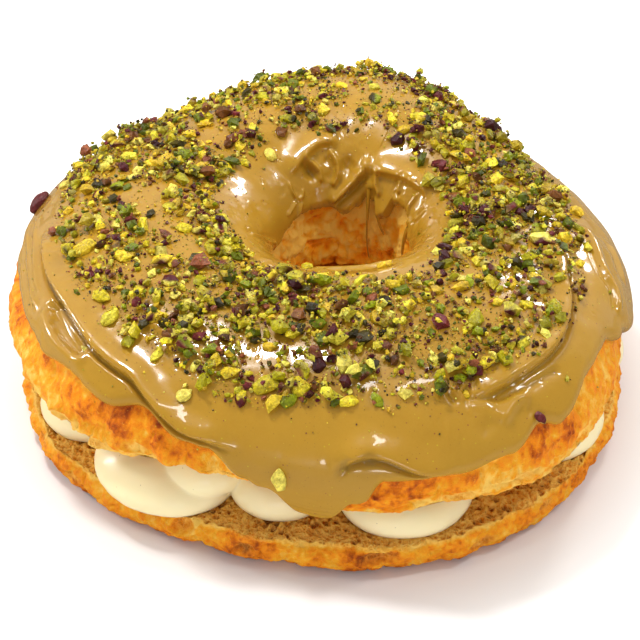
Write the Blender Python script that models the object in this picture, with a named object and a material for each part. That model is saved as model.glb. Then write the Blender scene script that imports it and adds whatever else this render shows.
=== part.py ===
"""A split king cake: a ring of sweet bread cut in two, with piped cream between the halves and
icing over the top under chopped pistachios. Four solids, in metres, +Z up, standing on z = 0."""

import math
import random

import bmesh
import bpy
import numpy as np
from mathutils import Vector
from mathutils.bvhtree import BVHTree

MM = 0.001
FULL_TURN = 2 * math.pi

# Driving dimensions. The outlines are radii round the middle of the cake, every 30 degrees from
# +X towards +Y, and the crest is the height of the bread at the same angles.
UPPER_OUTLINE = np.array([140, 130, 139, 147, 136, 141, 142, 148, 143, 141, 159, 152]) * MM
LOWER_OUTLINE = np.array([147, 137, 141, 148, 139, 145, 146, 149, 146.5, 149, 157, 153]) * MM
CREST = np.array([83, 83, 90, 92, 86, 83, 86, 87, 85, 86, 89, 87]) * MM
MIDDLE = np.array([-1.0, 0.9]) * MM  # the outlines' own centre, which makes the box's the origin
HOLE_CENTRE = np.array([9.4, 9.0]) * MM
HOLE_RADIUS = 36 * MM
WIDEST_HEIGHT = 46 * MM  # where the upper half reaches its outline
HOLE_LIP = 20 * MM  # the upper crust hangs this low round the hole
LOWER_CUT = 17 * MM
# Height of the upper half's cut edge, as (angle, height): mounds of cream raise it in places.
CUT_EDGE = (
    (0, 35), (182, 35), (196, 38), (207, 41.5), (222, 41.5), (230, 40), (238, 42), (246, 44),
    (256, 41.5), (271, 30.5), (280, 31), (293, 38.5), (300, 37), (308, 35),
)
BULGE = 4.5 * MM  # the bare crust swells out under the icing here
BULGE_ANGLE = 187
BULGE_WIDTH = 15
CREST_SHARE = 0.405  # the crest's place on the way from the hole to the outline
TUCK = 0.22  # how far the side curls in under the widest height
ICING = 5 * MM
GAP = 0.4 * MM  # kept between touching solids
CEILING_GAP = 0.8 * MM  # between the cream and the cut face above it, whose facets differ
CEILING_REACH = 2.4  # degrees to each side over which the cut face is looked at for that

# How far the icing comes down, as (angle round the cake, turn of the section) in degrees: a turn
# of 90 is the crest, 0 the widest height on the outer side, -90 the cut edge, 180 the hole's wall.
ICING_EDGE = (
    (12, 16), (28, 6), (44, 20), (62, 10), (80, 24), (97, 12), (112, 26), (128, 8), (143, 20),
    (158, 10), (174, 19), (181, 23), (186, 21), (193, 25), (200, 27), (208, 29), (214, 29),
    (222, 32), (232, 27), (238, 32),
    (247, 19), (251, 18), (258, 3), (262, -5), (268, -58), (272, -58), (276.5, -10), (281, 12),
    (290, 15), (300, 19),
    (306, 27), (310, 22), (320, 32), (328, 32), (334, 22), (342, 9), (357, 4),
)
ICING_HOLE_EDGE = (
    (0, 166), (14, 166), (20, 160), (28, 152), (36, 151), (45, 154), (50, 166), (57, 170),
    (62, 160), (69, 158), (76, 166), (87, 171), (100, 166), (114, 165), (130, 165), (143, 170),
    (160, 175), (180, 170), (215, 166), (250, 170), (285, 166), (320, 170), (345, 164),
)

# Ridges that the palette knife left: height, half width, and the way as (angle, turn) in degrees.
RIDGES = (
    (3.0 * MM, 6 * MM, ((186, 38), (200, 41), (207, 46), (219, 46), (230, 42), (238, 36), (251, 21))),
    (3.0 * MM, 7 * MM, ((345, 58), (330, 59), (321, 53), (315, 48), (308, 46), (298, 44), (294, 45))),
    (2.2 * MM, 7 * MM, ((270, 4), (276, 20), (281, 20), (286, 14), (292, 14))),
    (3.0 * MM, 7 * MM, ((144, 124), (122, 128), (97, 126), (81, 139), (65, 130), (42, 128), (25, 131))),
    (2.4 * MM, 6 * MM, ((262, 134), (277, 130), (292, 132))),
)

# Piped cream: (angle, reach from the middle, half width in degrees, height of its centre).
FRONT_DOLLOPS = (
    (210, 142, 11, 21), (237, 149, 16, 20), (246, 138, 11, 29), (262, 136, 12, 21),
    (288, 149.5, 14, 20), (325, 152, 13, 21),
)
HIDDEN_DOLLOPS = 9  # steps between the first and the last hidden one
HIDDEN_FIRST = 349
HIDDEN_LAST = 548
DOLLOP_DEPTH = 30 * MM
DOLLOP_HEIGHT = 15.5 * MM
CREAM_CORE = 0.80  # the cream between dollops ends at this share of the way to the outline

# Pistachio kernels that stand out: (angle, turn, length, way it lies, all degrees but the length).
KERNELS = (
    (167, 24, 13, 20), (339, 73, 14.5, 5), (303.5, 70.5, 11, 75), (259.5, 48, 13, 10),
    (216.5, 59, 10, 150), (222.5, 56, 11, 60), (254.5, 128, 9, 100), (292, 121.5, 8, 30),
    (255.5, 41, 8, 85), (264.5, 6.5, 11, 80), (0, 53, 9, 10), (353, 55.5, 9, 160),
    (158.5, 68.5, 11, 140), (161.5, 48.5, 9, 30), (199.5, 61, 14, 35), (305.5, 28, 7, 150),
    (47, 42, 7, 20), (42, 41, 6, 100), (275.5, 45, 9, 0), (280.5, 46, 8, 125), (244.5, 51, 7, 60),
    (172.5, 64, 10, 20), (164, 61, 10, 160), (135.5, 106, 9, 80), (127.5, 121.5, 8, 130),
    (118.5, 46, 8, 45), (6.5, 70.5, 10, 20), (10.5, 51, 8, 150), (42, 117.5, 7, 75),
    (245, 38, 8, 20), (320.5, 57.5, 8, 100),
)
NUT_COUNT = 165
LONGEST_NUT = 11 * MM
NUT_HALVING = 60  # the rank at which a nut is 0.7 times as long as the first
NUT_SEED = 7
NUT_CORNERS = 9
NUT_TWIST = 2.4  # radians between two corners, which spreads them evenly
NUT_RISE = 0.35  # share of its half thickness by which a nut's middle stands over the icing
# The nuts lie between these edges, as (angle, turn) in degrees, and thin out over the soft widths.
NUT_OUTER_EDGE = (
    (20, 60), (39, 48), (60, 46), (78, 52), (100, 48), (121, 42), (154, 32), (171, 49), (213, 57),
    (233, 53), (253, 42), (282, 45), (307, 53), (326, 53), (344, 56),
)
NUT_INNER_EDGE = (
    (22, 122), (64, 121), (93, 121), (121, 109), (146, 120), (180, 119), (214, 122), (240, 110),
    (292, 102), (324, 117), (350, 122),
)
NUT_OUTER_SOFT = 10
NUT_INNER_SOFT = 8
NUT_FARTHEST = 120 * MM  # from the hole's centre, where the nuts lie thickest

# Crags of the crust: how large they are and how far they move it out and in.
WIDE_CRAG = 24 * MM
FINE_CRAG = 11 * MM
WIDE_DEPTH = 1.5 * MM
FINE_DEPTH = 1.2 * MM
CRAG_INSET = -0.4 * MM

# The upper half's cut face slopes up from the lip to the cut between these shares of the way out,
# and the hole's wall narrows to the first radius at its height and then widens to the second.
SLOPE_START = 0.06
SLOPE_END = 0.28
UPPER_WALL = ((34 * MM, 33 * MM), (35 * MM, HOLE_LIP))
# The lower half: (inset from the outline, height) up its side, (share of the way out, drop below
# the cut) over its cut face, and (radius, height) down the hole's wall.
LOWER_SIDE = ((-9, 0), (-3.0, 2.2), (0, 8), (-1.4, 13), (-3.5, 17))
LOWER_FACE = ((0.88, 1.2), (0.5, 0.6), (0.0, 0.8))
LOWER_WALL = ((34 * MM, 7 * MM), (38 * MM, 0))
# The cream: shares of its height at which its side has a row, and of the way out under the top.
CREAM_SIDE = (0.0, 0.22, 0.5, 0.8)
CREAM_TOP = (0.6, 0.28)
CREAM_INNER = 0.1
CREAM_CAP = 0.9  # its top keeps within this share of the upper half

# Rows and steps of the meshes. The shoulders are the turns between which the rows run even.
ROUND_STEPS = 72
CREAM_STEPS = 96
BASE_STEPS = 64
OUTER_SHOULDER = 52
INNER_SHOULDER = 128
UNDER_STEPS = (2, 3, 1)
OVER_STEPS = (4, 5, 2)
BAND_STEPS = 4
OVERHANG = math.radians(2.5)
EDGE_THINNING = 0.15  # the icing is thinner by these shares at its edge and at the lip past it
LIP_THINNING = 0.55


def ring_curve(samples, angle):
    """A smooth closed curve through samples that are equally spaced round the ring."""
    waves = np.fft.rfft(samples) / len(samples)
    total = np.full_like(angle, waves[0].real)
    for k in range(1, len(waves)):
        share = 1 if 2 * k == len(samples) else 2
        total += share * (waves[k].real * np.cos(k * angle) - waves[k].imag * np.sin(k * angle))
    return total


def eased(knots, angle):
    """A closed curve that eases from each (degrees, value) knot to the next."""
    at = np.array([knot[0] for knot in knots], float)
    value = np.array([knot[1] for knot in knots], float)
    at = np.concatenate([[at[-1] - 360], at, [at[0] + 360]])
    value = np.concatenate([[value[-1]], value, [value[0]]])
    degrees = np.degrees(angle) % 360
    after = np.clip(np.searchsorted(at, degrees), 1, len(at) - 1)
    share = (degrees - at[after - 1]) / (at[after] - at[after - 1])
    ease = 0.5 - 0.5 * np.cos(math.pi * share)
    return value[after - 1] + (value[after] - value[after - 1]) * ease


def lattice_noise(points, size, seed):
    """Smooth noise from -1 to 1 over points, with features about as large as size."""
    scaled = points / size + seed * 17.3
    cell = np.floor(scaled).astype(np.int64)
    part = scaled - cell
    part = part * part * (3 - 2 * part)
    total = np.zeros(points.shape[:-1])
    for corner in range(8):
        step = np.array([corner & 1, corner >> 1 & 1, corner >> 2 & 1])
        key = (cell + step) * np.array([73856093, 19349663, 83492791])
        mixed = (key[..., 0] ^ key[..., 1] ^ key[..., 2]) & 0xFFFFFF
        mixed = (mixed * (mixed * mixed * 15731 + 789221) + 1376312589) & 0x7FFFFFFF
        weight = np.prod(np.where(step, part, 1 - part), axis=-1)
        total += weight * (mixed / 0x3FFFFFFF - 1)
    return total


def across(theta, share, outline, hole_radius=HOLE_RADIUS):
    """The x and y that lie a share of the way from the hole's wall to the outline."""
    heading = np.stack([np.cos(theta), np.sin(theta)], -1)
    outer = MIDDLE + ring_curve(outline, theta)[..., None] * heading
    inner = HOLE_CENTRE + hole_radius * heading
    return inner + (outer - inner) * share[..., None]


def cut_height(theta):
    return eased(CUT_EDGE, theta) * MM


def bread_dome(theta, turn):
    """Points of the upper crust. The turn runs from -90 degrees at the cut edge, over 90 at the
    crest, to 180 at the hole's wall."""
    crest = ring_curve(CREST, theta)
    curl = np.cos(np.where(turn > 0, turn, turn * TUCK))
    outer_share = CREST_SHARE + (1 - CREST_SHARE) * curl
    inner_share = CREST_SHARE - CREST_SHARE * np.abs(np.cos(turn))
    share = np.where(turn < math.pi / 2, outer_share, inner_share)
    below = WIDEST_HEIGHT - cut_height(theta)
    reach = np.where(turn > 0, crest - WIDEST_HEIGHT, below)
    height = WIDEST_HEIGHT + reach * np.sin(turn)
    return np.concatenate([across(theta, share, UPPER_OUTLINE), height[..., None]], -1)


def dome_normal(theta, turn):
    step = 1e-3
    along = bread_dome(theta + step, turn) - bread_dome(theta - step, turn)
    over = bread_dome(theta, turn + step) - bread_dome(theta, turn - step)
    normal = np.cross(along, over)
    return normal / np.linalg.norm(normal, axis=-1, keepdims=True)


def way_points(way, per_leg=8):
    """Points of the dome along a way given as (angle, turn) stops."""
    stops = np.radians(np.array(way, float))
    shares = np.linspace(0, 1, per_leg, endpoint=False)
    legs = [a + (b - a) * shares[:, None] for a, b in zip(stops[:-1], stops[1:])]
    path = np.concatenate([*legs, stops[-1:]])
    return bread_dome(path[:, 0], path[:, 1])


def icing_depth(theta, turn):
    """Thickness of the icing: even, with the knife's ridges on it."""
    points = bread_dome(theta, turn)
    depth = ICING + 0.6 * MM * lattice_noise(points, 28 * MM, 3)
    for height, half_width, way in RIDGES:
        path = way_points(way)
        near = np.full(theta.shape, np.inf)
        for stop in path:
            near = np.minimum(near, np.linalg.norm(points - stop, axis=-1))
        depth += height * np.exp(-((near / half_width) ** 2))
    return depth


def icing_point(theta, turn, lifted=0.0):
    """A point of the icing's surface and the way out of it."""
    normal = dome_normal(theta, turn)
    depth = icing_depth(theta, turn) + lifted
    return bread_dome(theta, turn) + normal * depth[..., None], normal


def round_angles(steps):
    return np.arange(steps) * FULL_TURN / steps


def ring_mesh(name, rows, turned_from=None):
    """A closed ring from rows of points: each row is one loop round the hole, in the order of the
    section, outer side upwards first. Rows from turned_from on are split along the other diagonal,
    so that an underside has the facets of the surface that it lies on."""
    count = len(rows[0])
    turned_from = len(rows) if turned_from is None else turned_from
    mesh = bpy.data.meshes.new(name)
    bm = bmesh.new()
    loops = [[bm.verts.new(point) for point in row] for row in rows]
    for k, (here, after) in enumerate(zip(loops, loops[1:] + loops[:1])):
        for i in range(count):
            j = (i + 1) % count
            corner = after[i] if k >= turned_from else after[j]
            start = here[j] if k >= turned_from else here[i]
            bm.faces.new((here[i], here[j], corner))
            bm.faces.new((start, after[j], after[i]))
    bm.to_mesh(mesh)
    bm.free()
    obj = bpy.data.objects.new(name, mesh)
    bpy.context.scene.collection.objects.link(obj)
    mesh.shade_smooth()
    return obj


def even_turns(first, last, steps):
    """Turns from first up to but not including last."""
    return [first + (last - first) * k / steps for k in range(steps)]


def band_turns(theta, steps):
    """The turns of the bare crust's rows, from the cut edge up to the icing."""
    edge = np.radians(eased(ICING_EDGE, theta))
    return even_turns(np.full_like(theta, -math.pi / 2), edge, steps)


def iced_turns(theta, outer_steps, crest_steps, inner_steps):
    """The turns of the rows under the icing, ends included. Only the outermost and innermost
    stretches follow the wavy edges, so that the rows over the crest run even."""
    edge = np.radians(eased(ICING_EDGE, theta))
    hole_edge = np.radians(eased(ICING_HOLE_EDGE, theta))
    shoulder = np.full_like(theta, math.radians(OUTER_SHOULDER))
    funnel = np.full_like(theta, math.radians(INNER_SHOULDER))
    rows = even_turns(edge, shoulder, outer_steps)
    rows += even_turns(shoulder, funnel, crest_steps)
    return rows + even_turns(funnel, hole_edge, inner_steps) + [hole_edge]


def swell(theta, turn):
    """How far the upper half's bare crust swells out."""
    away = (np.degrees(theta) % 360 - BULGE_ANGLE) / BULGE_WIDTH
    return BULGE * np.exp(-away * away) * np.cos(turn)


def cragged(theta, points, swollen=0.0):
    """Points of the side moved in and out by the crags of the baked crust."""
    wide = lattice_noise(points, WIDE_CRAG, 1)
    fine = lattice_noise(points, FINE_CRAG, 2)
    depth = CRAG_INSET + WIDE_DEPTH * wide + FINE_DEPTH * fine + swollen
    outward = np.stack([np.cos(theta), np.sin(theta), np.zeros_like(theta)], -1)
    return points + outward * depth[:, None]


def underside_height(theta, share):
    """Height of the upper half's cut face: flat, and sloping down to the lip at the hole."""
    outer = cut_height(theta)
    slope = np.clip((share - SLOPE_START) / (SLOPE_END - SLOPE_START), 0, 1)
    return HOLE_LIP + (outer - HOLE_LIP) * slope


def make_top_half():
    theta = round_angles(ROUND_STEPS)
    rows = []
    for turn in band_turns(theta, BAND_STEPS):
        rows.append(cragged(theta, bread_dome(theta, turn), swell(theta, turn)))
    for turn in [*iced_turns(theta, *UNDER_STEPS), np.full_like(theta, math.pi)]:
        rows.append(bread_dome(theta, turn))
    for hole_radius, height in UPPER_WALL:
        flat = across(theta, 0 * theta, UPPER_OUTLINE, hole_radius)
        rows.append(np.column_stack([flat, np.full_like(theta, height)]))
    for share in (SLOPE_START, SLOPE_END):
        way = np.full_like(theta, share)
        flat = across(theta, way, UPPER_OUTLINE)
        rows.append(np.column_stack([flat, underside_height(theta, way)]))
    return ring_mesh("top_half", rows)


def make_icing_shell():
    theta = round_angles(ROUND_STEPS)
    under = iced_turns(theta, *UNDER_STEPS)
    over = iced_turns(theta, *OVER_STEPS)
    edge, hole_edge = over[0], over[-1]
    rows = [icing_point(theta, edge - OVERHANG, -LIP_THINNING * ICING)[0]]
    rows.append(icing_point(theta, edge, -EDGE_THINNING * ICING)[0])
    rows += [icing_point(theta, turn)[0] for turn in over[1:-1]]
    rows.append(icing_point(theta, hole_edge, -EDGE_THINNING * ICING)[0])
    rows.append(icing_point(theta, hole_edge + OVERHANG, -LIP_THINNING * ICING)[0])
    for turn in under[::-1]:
        rows.append(bread_dome(theta, turn) + dome_normal(theta, turn) * GAP)
    return ring_mesh("icing", rows, turned_from=len(rows) - len(under))


def make_bottom_half():
    theta = round_angles(BASE_STEPS)
    outside = np.ones_like(theta)
    rows = []
    for inset, height in LOWER_SIDE:
        flat = across(theta, outside, LOWER_OUTLINE + inset * MM)
        points = np.column_stack([flat, np.full_like(theta, height * MM)])
        rows.append(cragged(theta, points) if height else points)
    for share, drop in LOWER_FACE:
        flat = across(theta, np.full_like(theta, share), LOWER_OUTLINE)
        rows.append(np.column_stack([flat, np.full_like(theta, LOWER_CUT - drop * MM)]))
    for hole_radius, height in LOWER_WALL:
        flat = across(theta, 0 * theta, LOWER_OUTLINE, hole_radius)
        rows.append(np.column_stack([flat, np.full_like(theta, height)]))
    return ring_mesh("bottom_half", rows)


def dollops():
    """Every dollop as (angle, reach, half width, centre height), the hidden ones evenly spaced."""
    draw = random.Random(NUT_SEED)
    placed = [(a, r * MM, w, h * MM) for a, r, w, h in FRONT_DOLLOPS]
    for k in range(HIDDEN_DOLLOPS + 1):
        angle = HIDDEN_FIRST + (HIDDEN_LAST - HIDDEN_FIRST) * k / HIDDEN_DOLLOPS + draw.uniform(-2, 2)
        outline = float(ring_curve(LOWER_OUTLINE, np.radians([angle]))[0])
        reach = outline - draw.uniform(1, 7) * MM
        placed.append((angle % 360, reach, draw.uniform(11, 14), draw.uniform(22, 27) * MM))
    return placed


def cream_reach(theta, height):
    """How far the cream comes out at an angle and height: the furthest of the dollops there."""
    core = across(theta, np.full_like(theta, CREAM_CORE), LOWER_OUTLINE)
    reach = np.linalg.norm(core - MIDDLE, axis=-1)
    for angle, furthest, half_width, centre in dollops():
        away = (np.degrees(theta) - angle + 180) % 360 - 180
        rest = 1 - (away / half_width) ** 2 - ((height - centre) / DOLLOP_HEIGHT) ** 2
        bulge = furthest - DOLLOP_DEPTH + DOLLOP_DEPTH * np.sqrt(np.clip(rest, 0, 1))
        reach = np.maximum(reach, np.where(rest > 0, bulge, 0))
    return reach


def cream_ceiling(theta, share):
    """Height of the cream's top: under the lowest of the cut face near by."""
    reach = math.radians(CEILING_REACH)
    near = [underside_height(theta + shift, share) for shift in (-reach, 0, reach)]
    return np.min(near, axis=0) - CEILING_GAP


def make_cream():
    theta = round_angles(CREAM_STEPS)
    heading = np.stack([np.cos(theta), np.sin(theta)], -1)
    floor = LOWER_CUT + GAP
    ceiling = cream_ceiling(theta, np.ones_like(theta))
    rows = []
    for share in CREAM_SIDE:
        height = floor + (ceiling - floor) * share
        reach = cream_reach(theta, height)
        rows.append(np.column_stack([MIDDLE + heading * reach[:, None], height]))
    cut = across(theta, np.full_like(theta, CREAM_CAP), UPPER_OUTLINE)
    cap = np.linalg.norm(cut - MIDDLE, axis=-1) - 1 * MM
    reach = np.minimum(cream_reach(theta, ceiling), cap)
    rows.append(np.column_stack([MIDDLE + heading * reach[:, None], ceiling]))
    for share in (*CREAM_TOP, CREAM_INNER):
        way = np.full_like(theta, share)
        flat = across(theta, way, UPPER_OUTLINE)
        rows.append(np.column_stack([flat, cream_ceiling(theta, way)]))
    inner = across(theta, np.full_like(theta, CREAM_INNER), UPPER_OUTLINE)
    rows.append(np.column_stack([inner, np.full_like(theta, floor)]))
    return ring_mesh("cream_filling", rows)


def nut_band(theta, turn):
    """How thickly the nuts lie: a band over the crest, bare near the hole's back and the rim."""
    at = np.degrees(turn)
    past_outer = (at - eased(NUT_OUTER_EDGE, theta)) / NUT_OUTER_SOFT
    past_inner = (eased(NUT_INNER_EDGE, theta) - at) / NUT_INNER_SOFT
    return np.clip(np.minimum(past_outer, past_inner) + 0.5, 0, 1)


def nut_places():
    """(angle, turn, length, way it lies), the long kernels first and then ever smaller pieces,
    each clear of those before it."""
    draw = random.Random(NUT_SEED)
    placed = []
    points = []

    def point_at(angle, turn):
        return bread_dome(np.array([angle]), np.array([turn]))[0]

    for angle, turn, length, lies in KERNELS:
        placed.append((math.radians(angle), math.radians(turn), length * MM, math.radians(lies)))
        points.append(point_at(*placed[-1][:2]))
    while len(placed) < NUT_COUNT:
        rank = len(placed) - len(KERNELS)
        length = LONGEST_NUT * (1 + rank / NUT_HALVING) ** -0.5 * draw.uniform(0.85, 1.15)
        for _ in range(400):
            angle = draw.uniform(0, FULL_TURN)
            turn = draw.uniform(math.radians(25), math.radians(130))
            point = point_at(angle, turn)
            outer = np.linalg.norm(point[:2] - HOLE_CENTRE) / NUT_FARTHEST
            if draw.random() > nut_band(np.array([angle]), np.array([turn]))[0] * outer:
                continue
            apart = [np.linalg.norm(point - other) for other in points]
            lengths = [0.55 * (length + other[2]) for other in placed]
            if all(a > b for a, b in zip(apart, lengths)):
                placed.append((angle, turn, length, draw.uniform(0, FULL_TURN)))
                points.append(point)
                break
        else:
            raise RuntimeError("no room is left for the nuts")
    return placed


def nut_object(index, surface, angle, turn, length, lies):
    """A broken piece of kernel, the hull of points on a squashed ball, set into the icing."""
    draw = random.Random(1000 + index)
    top, normal = icing_point(np.array([angle]), np.array([turn]))
    normal = normal[0]
    top = np.array(surface.find_nearest(Vector(top[0]))[0])
    half = length / 2
    sizes = (half, half * draw.uniform(0.58, 0.78), half * draw.uniform(0.42, 0.6))
    side = np.cross(normal, [math.cos(lies), math.sin(lies), 0.15])
    side /= np.linalg.norm(side)
    ahead = np.cross(side, normal)
    bm = bmesh.new()
    spin = draw.uniform(0, FULL_TURN)
    for k in range(NUT_CORNERS):
        height = 1 - (2 * k + 1) / NUT_CORNERS
        wide = math.sqrt(1 - height * height) * draw.uniform(0.85, 1.12)
        around = spin + k * NUT_TWIST
        local = (wide * math.cos(around), wide * math.sin(around), height * draw.uniform(0.8, 1.1))
        point = top + normal * sizes[2] * NUT_RISE
        for axis, size, value in zip((ahead, side, normal), sizes, local):
            point = point + axis * size * value
        bm.verts.new(point)
    hull = bmesh.ops.convex_hull(bm, input=bm.verts)
    bmesh.ops.delete(bm, geom=[g for g in hull["geom_interior"] if g.is_valid], context="VERTS")
    bmesh.ops.triangulate(bm, faces=bm.faces)
    bmesh.ops.recalc_face_normals(bm, faces=bm.faces)
    mesh = bpy.data.meshes.new(f"nut_{index}")
    bm.to_mesh(mesh)
    bm.free()
    return bpy.data.objects.new(mesh.name, mesh)


def keep_main_body(mesh):
    """Drops loose scraps, and fills any hollow that the union sealed by dropping its shell."""
    bm = bmesh.new()
    bm.from_mesh(mesh)
    unseen = set(bm.verts)
    shells = []
    while unseen:
        shell = {unseen.pop()}
        front = list(shell)
        while front:
            vert = front.pop()
            for edge in vert.link_edges:
                other = edge.other_vert(vert)
                if other in unseen:
                    unseen.discard(other)
                    shell.add(other)
                    front.append(other)
        shells.append(shell)
    largest = max(shells, key=len)
    scraps = [vert for shell in shells if shell is not largest for vert in shell]
    bmesh.ops.delete(bm, geom=scraps, context="VERTS")
    bm.to_mesh(mesh)
    bm.free()


def fuse_nuts(icing):
    """Joins every nut to the icing, and removes the nuts' own objects."""
    nuts = bpy.data.collections.new("nuts")
    bpy.context.scene.collection.children.link(nuts)
    surface = BVHTree.FromObject(icing, bpy.context.evaluated_depsgraph_get())
    for index, place in enumerate(nut_places()):
        nuts.objects.link(nut_object(index, surface, *place))
    union = icing.modifiers.new("nuts", "BOOLEAN")
    union.operation = "UNION"
    union.operand_type = "COLLECTION"
    union.solver = "MANIFOLD"
    union.collection = nuts
    bpy.context.view_layer.update()
    bpy.context.view_layer.objects.active = icing
    with bpy.context.temp_override(object=icing, active_object=icing):
        bpy.ops.object.modifier_apply(modifier=union.name)
    keep_main_body(icing.data)
    for obj in list(nuts.objects):
        bpy.data.objects.remove(obj)
    bpy.data.collections.remove(nuts)


def finish_material(obj, colour, roughness):
    material = bpy.data.materials.new(obj.name)
    material.use_nodes = True
    shader = material.node_tree.nodes["Principled BSDF"]
    shader.inputs["Base Color"].default_value = (*colour, 1)
    shader.inputs["Roughness"].default_value = roughness
    shader.inputs["Metallic"].default_value = 0
    obj.data.materials.clear()
    obj.data.materials.append(material)


def main():
    for obj in list(bpy.data.objects):
        bpy.data.objects.remove(obj)
    icing = make_icing_shell()
    fuse_nuts(icing)
    finish_material(make_bottom_half(), (0.62, 0.33, 0.12), 0.75)
    finish_material(make_cream(), (0.82, 0.74, 0.50), 0.35)
    finish_material(make_top_half(), (0.66, 0.32, 0.10), 0.7)
    finish_material(icing, (0.50, 0.33, 0.10), 0.25)


if __name__ == "__main__":
    main()
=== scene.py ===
"""Looks of the split king cake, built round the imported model. Lengths are in metres, and the shape
functions are the CAD's own, so every piece lies where its solid lies, at a finer resolution."""

import math
import random
from functools import cache

import bmesh
import bpy
import numpy as np
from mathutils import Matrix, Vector


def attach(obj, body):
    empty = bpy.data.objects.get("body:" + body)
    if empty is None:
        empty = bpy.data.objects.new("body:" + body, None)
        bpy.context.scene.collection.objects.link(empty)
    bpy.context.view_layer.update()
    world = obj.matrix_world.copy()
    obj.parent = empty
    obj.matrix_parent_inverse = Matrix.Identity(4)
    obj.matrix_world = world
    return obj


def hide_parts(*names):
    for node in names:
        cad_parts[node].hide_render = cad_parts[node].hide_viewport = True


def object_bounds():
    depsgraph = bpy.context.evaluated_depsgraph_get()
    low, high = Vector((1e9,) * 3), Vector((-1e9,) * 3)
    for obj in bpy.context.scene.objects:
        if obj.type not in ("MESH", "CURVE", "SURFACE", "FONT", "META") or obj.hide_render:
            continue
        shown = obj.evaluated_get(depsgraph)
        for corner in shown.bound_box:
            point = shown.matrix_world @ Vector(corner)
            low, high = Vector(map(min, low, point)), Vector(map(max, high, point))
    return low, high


MM = 0.001
FULL_TURN = 2 * math.pi

# ---------------------------------------------------------------------------------------------
# The CAD's driving dimensions. Outlines and crest are given every 30 degrees from +X towards +Y.
UPPER_OUTLINE = np.array([140, 130, 139, 147, 136, 141, 142, 148, 143, 141, 159, 152]) * MM
LOWER_OUTLINE = np.array([147, 137, 141, 148, 139, 145, 146, 149, 146.5, 149, 157, 153]) * MM
CREST = np.array([83, 83, 90, 92, 86, 83, 86, 87, 85, 86, 89, 87]) * MM
MIDDLE = np.array([-1.0, 0.9]) * MM
HOLE_CENTRE = np.array([9.4, 9.0]) * MM
HOLE_RADIUS = 36 * MM
WIDEST_HEIGHT = 46 * MM
HOLE_LIP = 20 * MM
LOWER_CUT = 17 * MM
CUT_EDGE = (
    (0, 35), (182, 35), (196, 38), (207, 41.5), (222, 41.5), (230, 40), (238, 42), (246, 44),
    (256, 41.5), (271, 30.5), (280, 31), (293, 38.5), (300, 37), (308, 35),
)
BULGE = 4.5 * MM
BULGE_ANGLE = 187
BULGE_WIDTH = 15
CREST_SHARE = 0.405
TUCK = 0.22
ICING = 5 * MM
GAP = 0.4 * MM
CEILING_GAP = 0.8 * MM
OVERHANG = math.radians(2.5)
SLOPE_START = 0.06
SLOPE_END = 0.28
WIDE_CRAG = 24 * MM
FINE_CRAG = 11 * MM
WIDE_DEPTH = 1.5 * MM
FINE_DEPTH = 1.2 * MM
CRAG_INSET = -0.4 * MM

ICING_EDGE = (
    (12, 16), (28, 6), (44, 20), (62, 10), (80, 24), (97, 12), (112, 26), (128, 8), (143, 20),
    (158, 10), (174, 19), (181, 23), (186, 21), (193, 25), (200, 27), (208, 29), (214, 29),
    (222, 32), (232, 27), (238, 32),
    (247, 19), (251, 18), (258, 3), (262, -5), (268, -58), (272, -58), (276.5, -10), (281, 12),
    (290, 15), (300, 19),
    (306, 27), (310, 22), (320, 32), (328, 32), (334, 22), (342, 9), (357, 4),
)
ICING_HOLE_EDGE = (
    (0, 166), (14, 166), (20, 160), (28, 152), (36, 151), (45, 154), (50, 166), (57, 170),
    (62, 160), (69, 158), (76, 166), (87, 171), (100, 166), (114, 165), (130, 165), (143, 170),
    (160, 175), (180, 170), (215, 166), (250, 170), (285, 166), (320, 170), (345, 164),
)

FRONT_DOLLOPS = (
    (210.5, 144, 12.5, 20), (237, 149, 16, 20), (246, 138, 11, 29), (262, 136, 12, 21),
    (288, 149.5, 14, 20), (325, 152, 13, 21),
)
HIDDEN_DOLLOPS = 9
HIDDEN_FIRST = 349
HIDDEN_LAST = 548
DOLLOP_DEPTH = 30 * MM
DOLLOP_HEIGHT = 15.5 * MM
CREAM_CORE = 0.80

KERNELS = (
    (167, 24, 13, 20), (339, 73, 14.5, 5), (303.5, 70.5, 11, 75), (259.5, 48, 13, 10),
    (216.5, 59, 10, 150), (222.5, 56, 11, 60), (254.5, 128, 9, 100), (292, 121.5, 8, 30),
    (255.5, 41, 8, 85), (264.5, 6.5, 11, 80), (0, 53, 9, 10), (353, 55.5, 9, 160),
    (158.5, 68.5, 11, 140), (161.5, 48.5, 9, 30), (199.5, 61, 14, 35), (305.5, 28, 7, 150),
    (47, 42, 7, 20), (42, 41, 6, 100), (275.5, 45, 9, 0), (280.5, 46, 8, 125), (244.5, 51, 7, 60),
    (172.5, 64, 10, 20), (164, 61, 10, 160), (135.5, 106, 9, 80), (127.5, 121.5, 8, 130),
    (118.5, 46, 8, 45), (6.5, 70.5, 10, 20), (10.5, 51, 8, 150), (42, 117.5, 7, 75),
    (245, 38, 8, 20), (320.5, 57.5, 8, 100),
)
NUT_COUNT = 165
LONGEST_NUT = 11 * MM
NUT_HALVING = 60
NUT_SEED = 7
NUT_CORNERS = 9
NUT_TWIST = 2.4
NUT_RISE = 0.35
NUT_OUTER_SOFT = 10
NUT_INNER_SOFT = 8
NUT_FARTHEST = 120 * MM
NUT_OUTER_EDGE = (
    (20, 60), (39, 48), (60, 46), (78, 52), (100, 48), (121, 42), (154, 32), (171, 49), (213, 57),
    (233, 53), (253, 42), (282, 45), (307, 53), (326, 53), (344, 56),
)
NUT_INNER_EDGE = (
    (22, 122), (64, 121), (93, 121), (121, 109), (146, 120), (180, 119), (214, 122), (240, 110),
    (292, 102), (324, 117), (350, 122),
)

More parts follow.
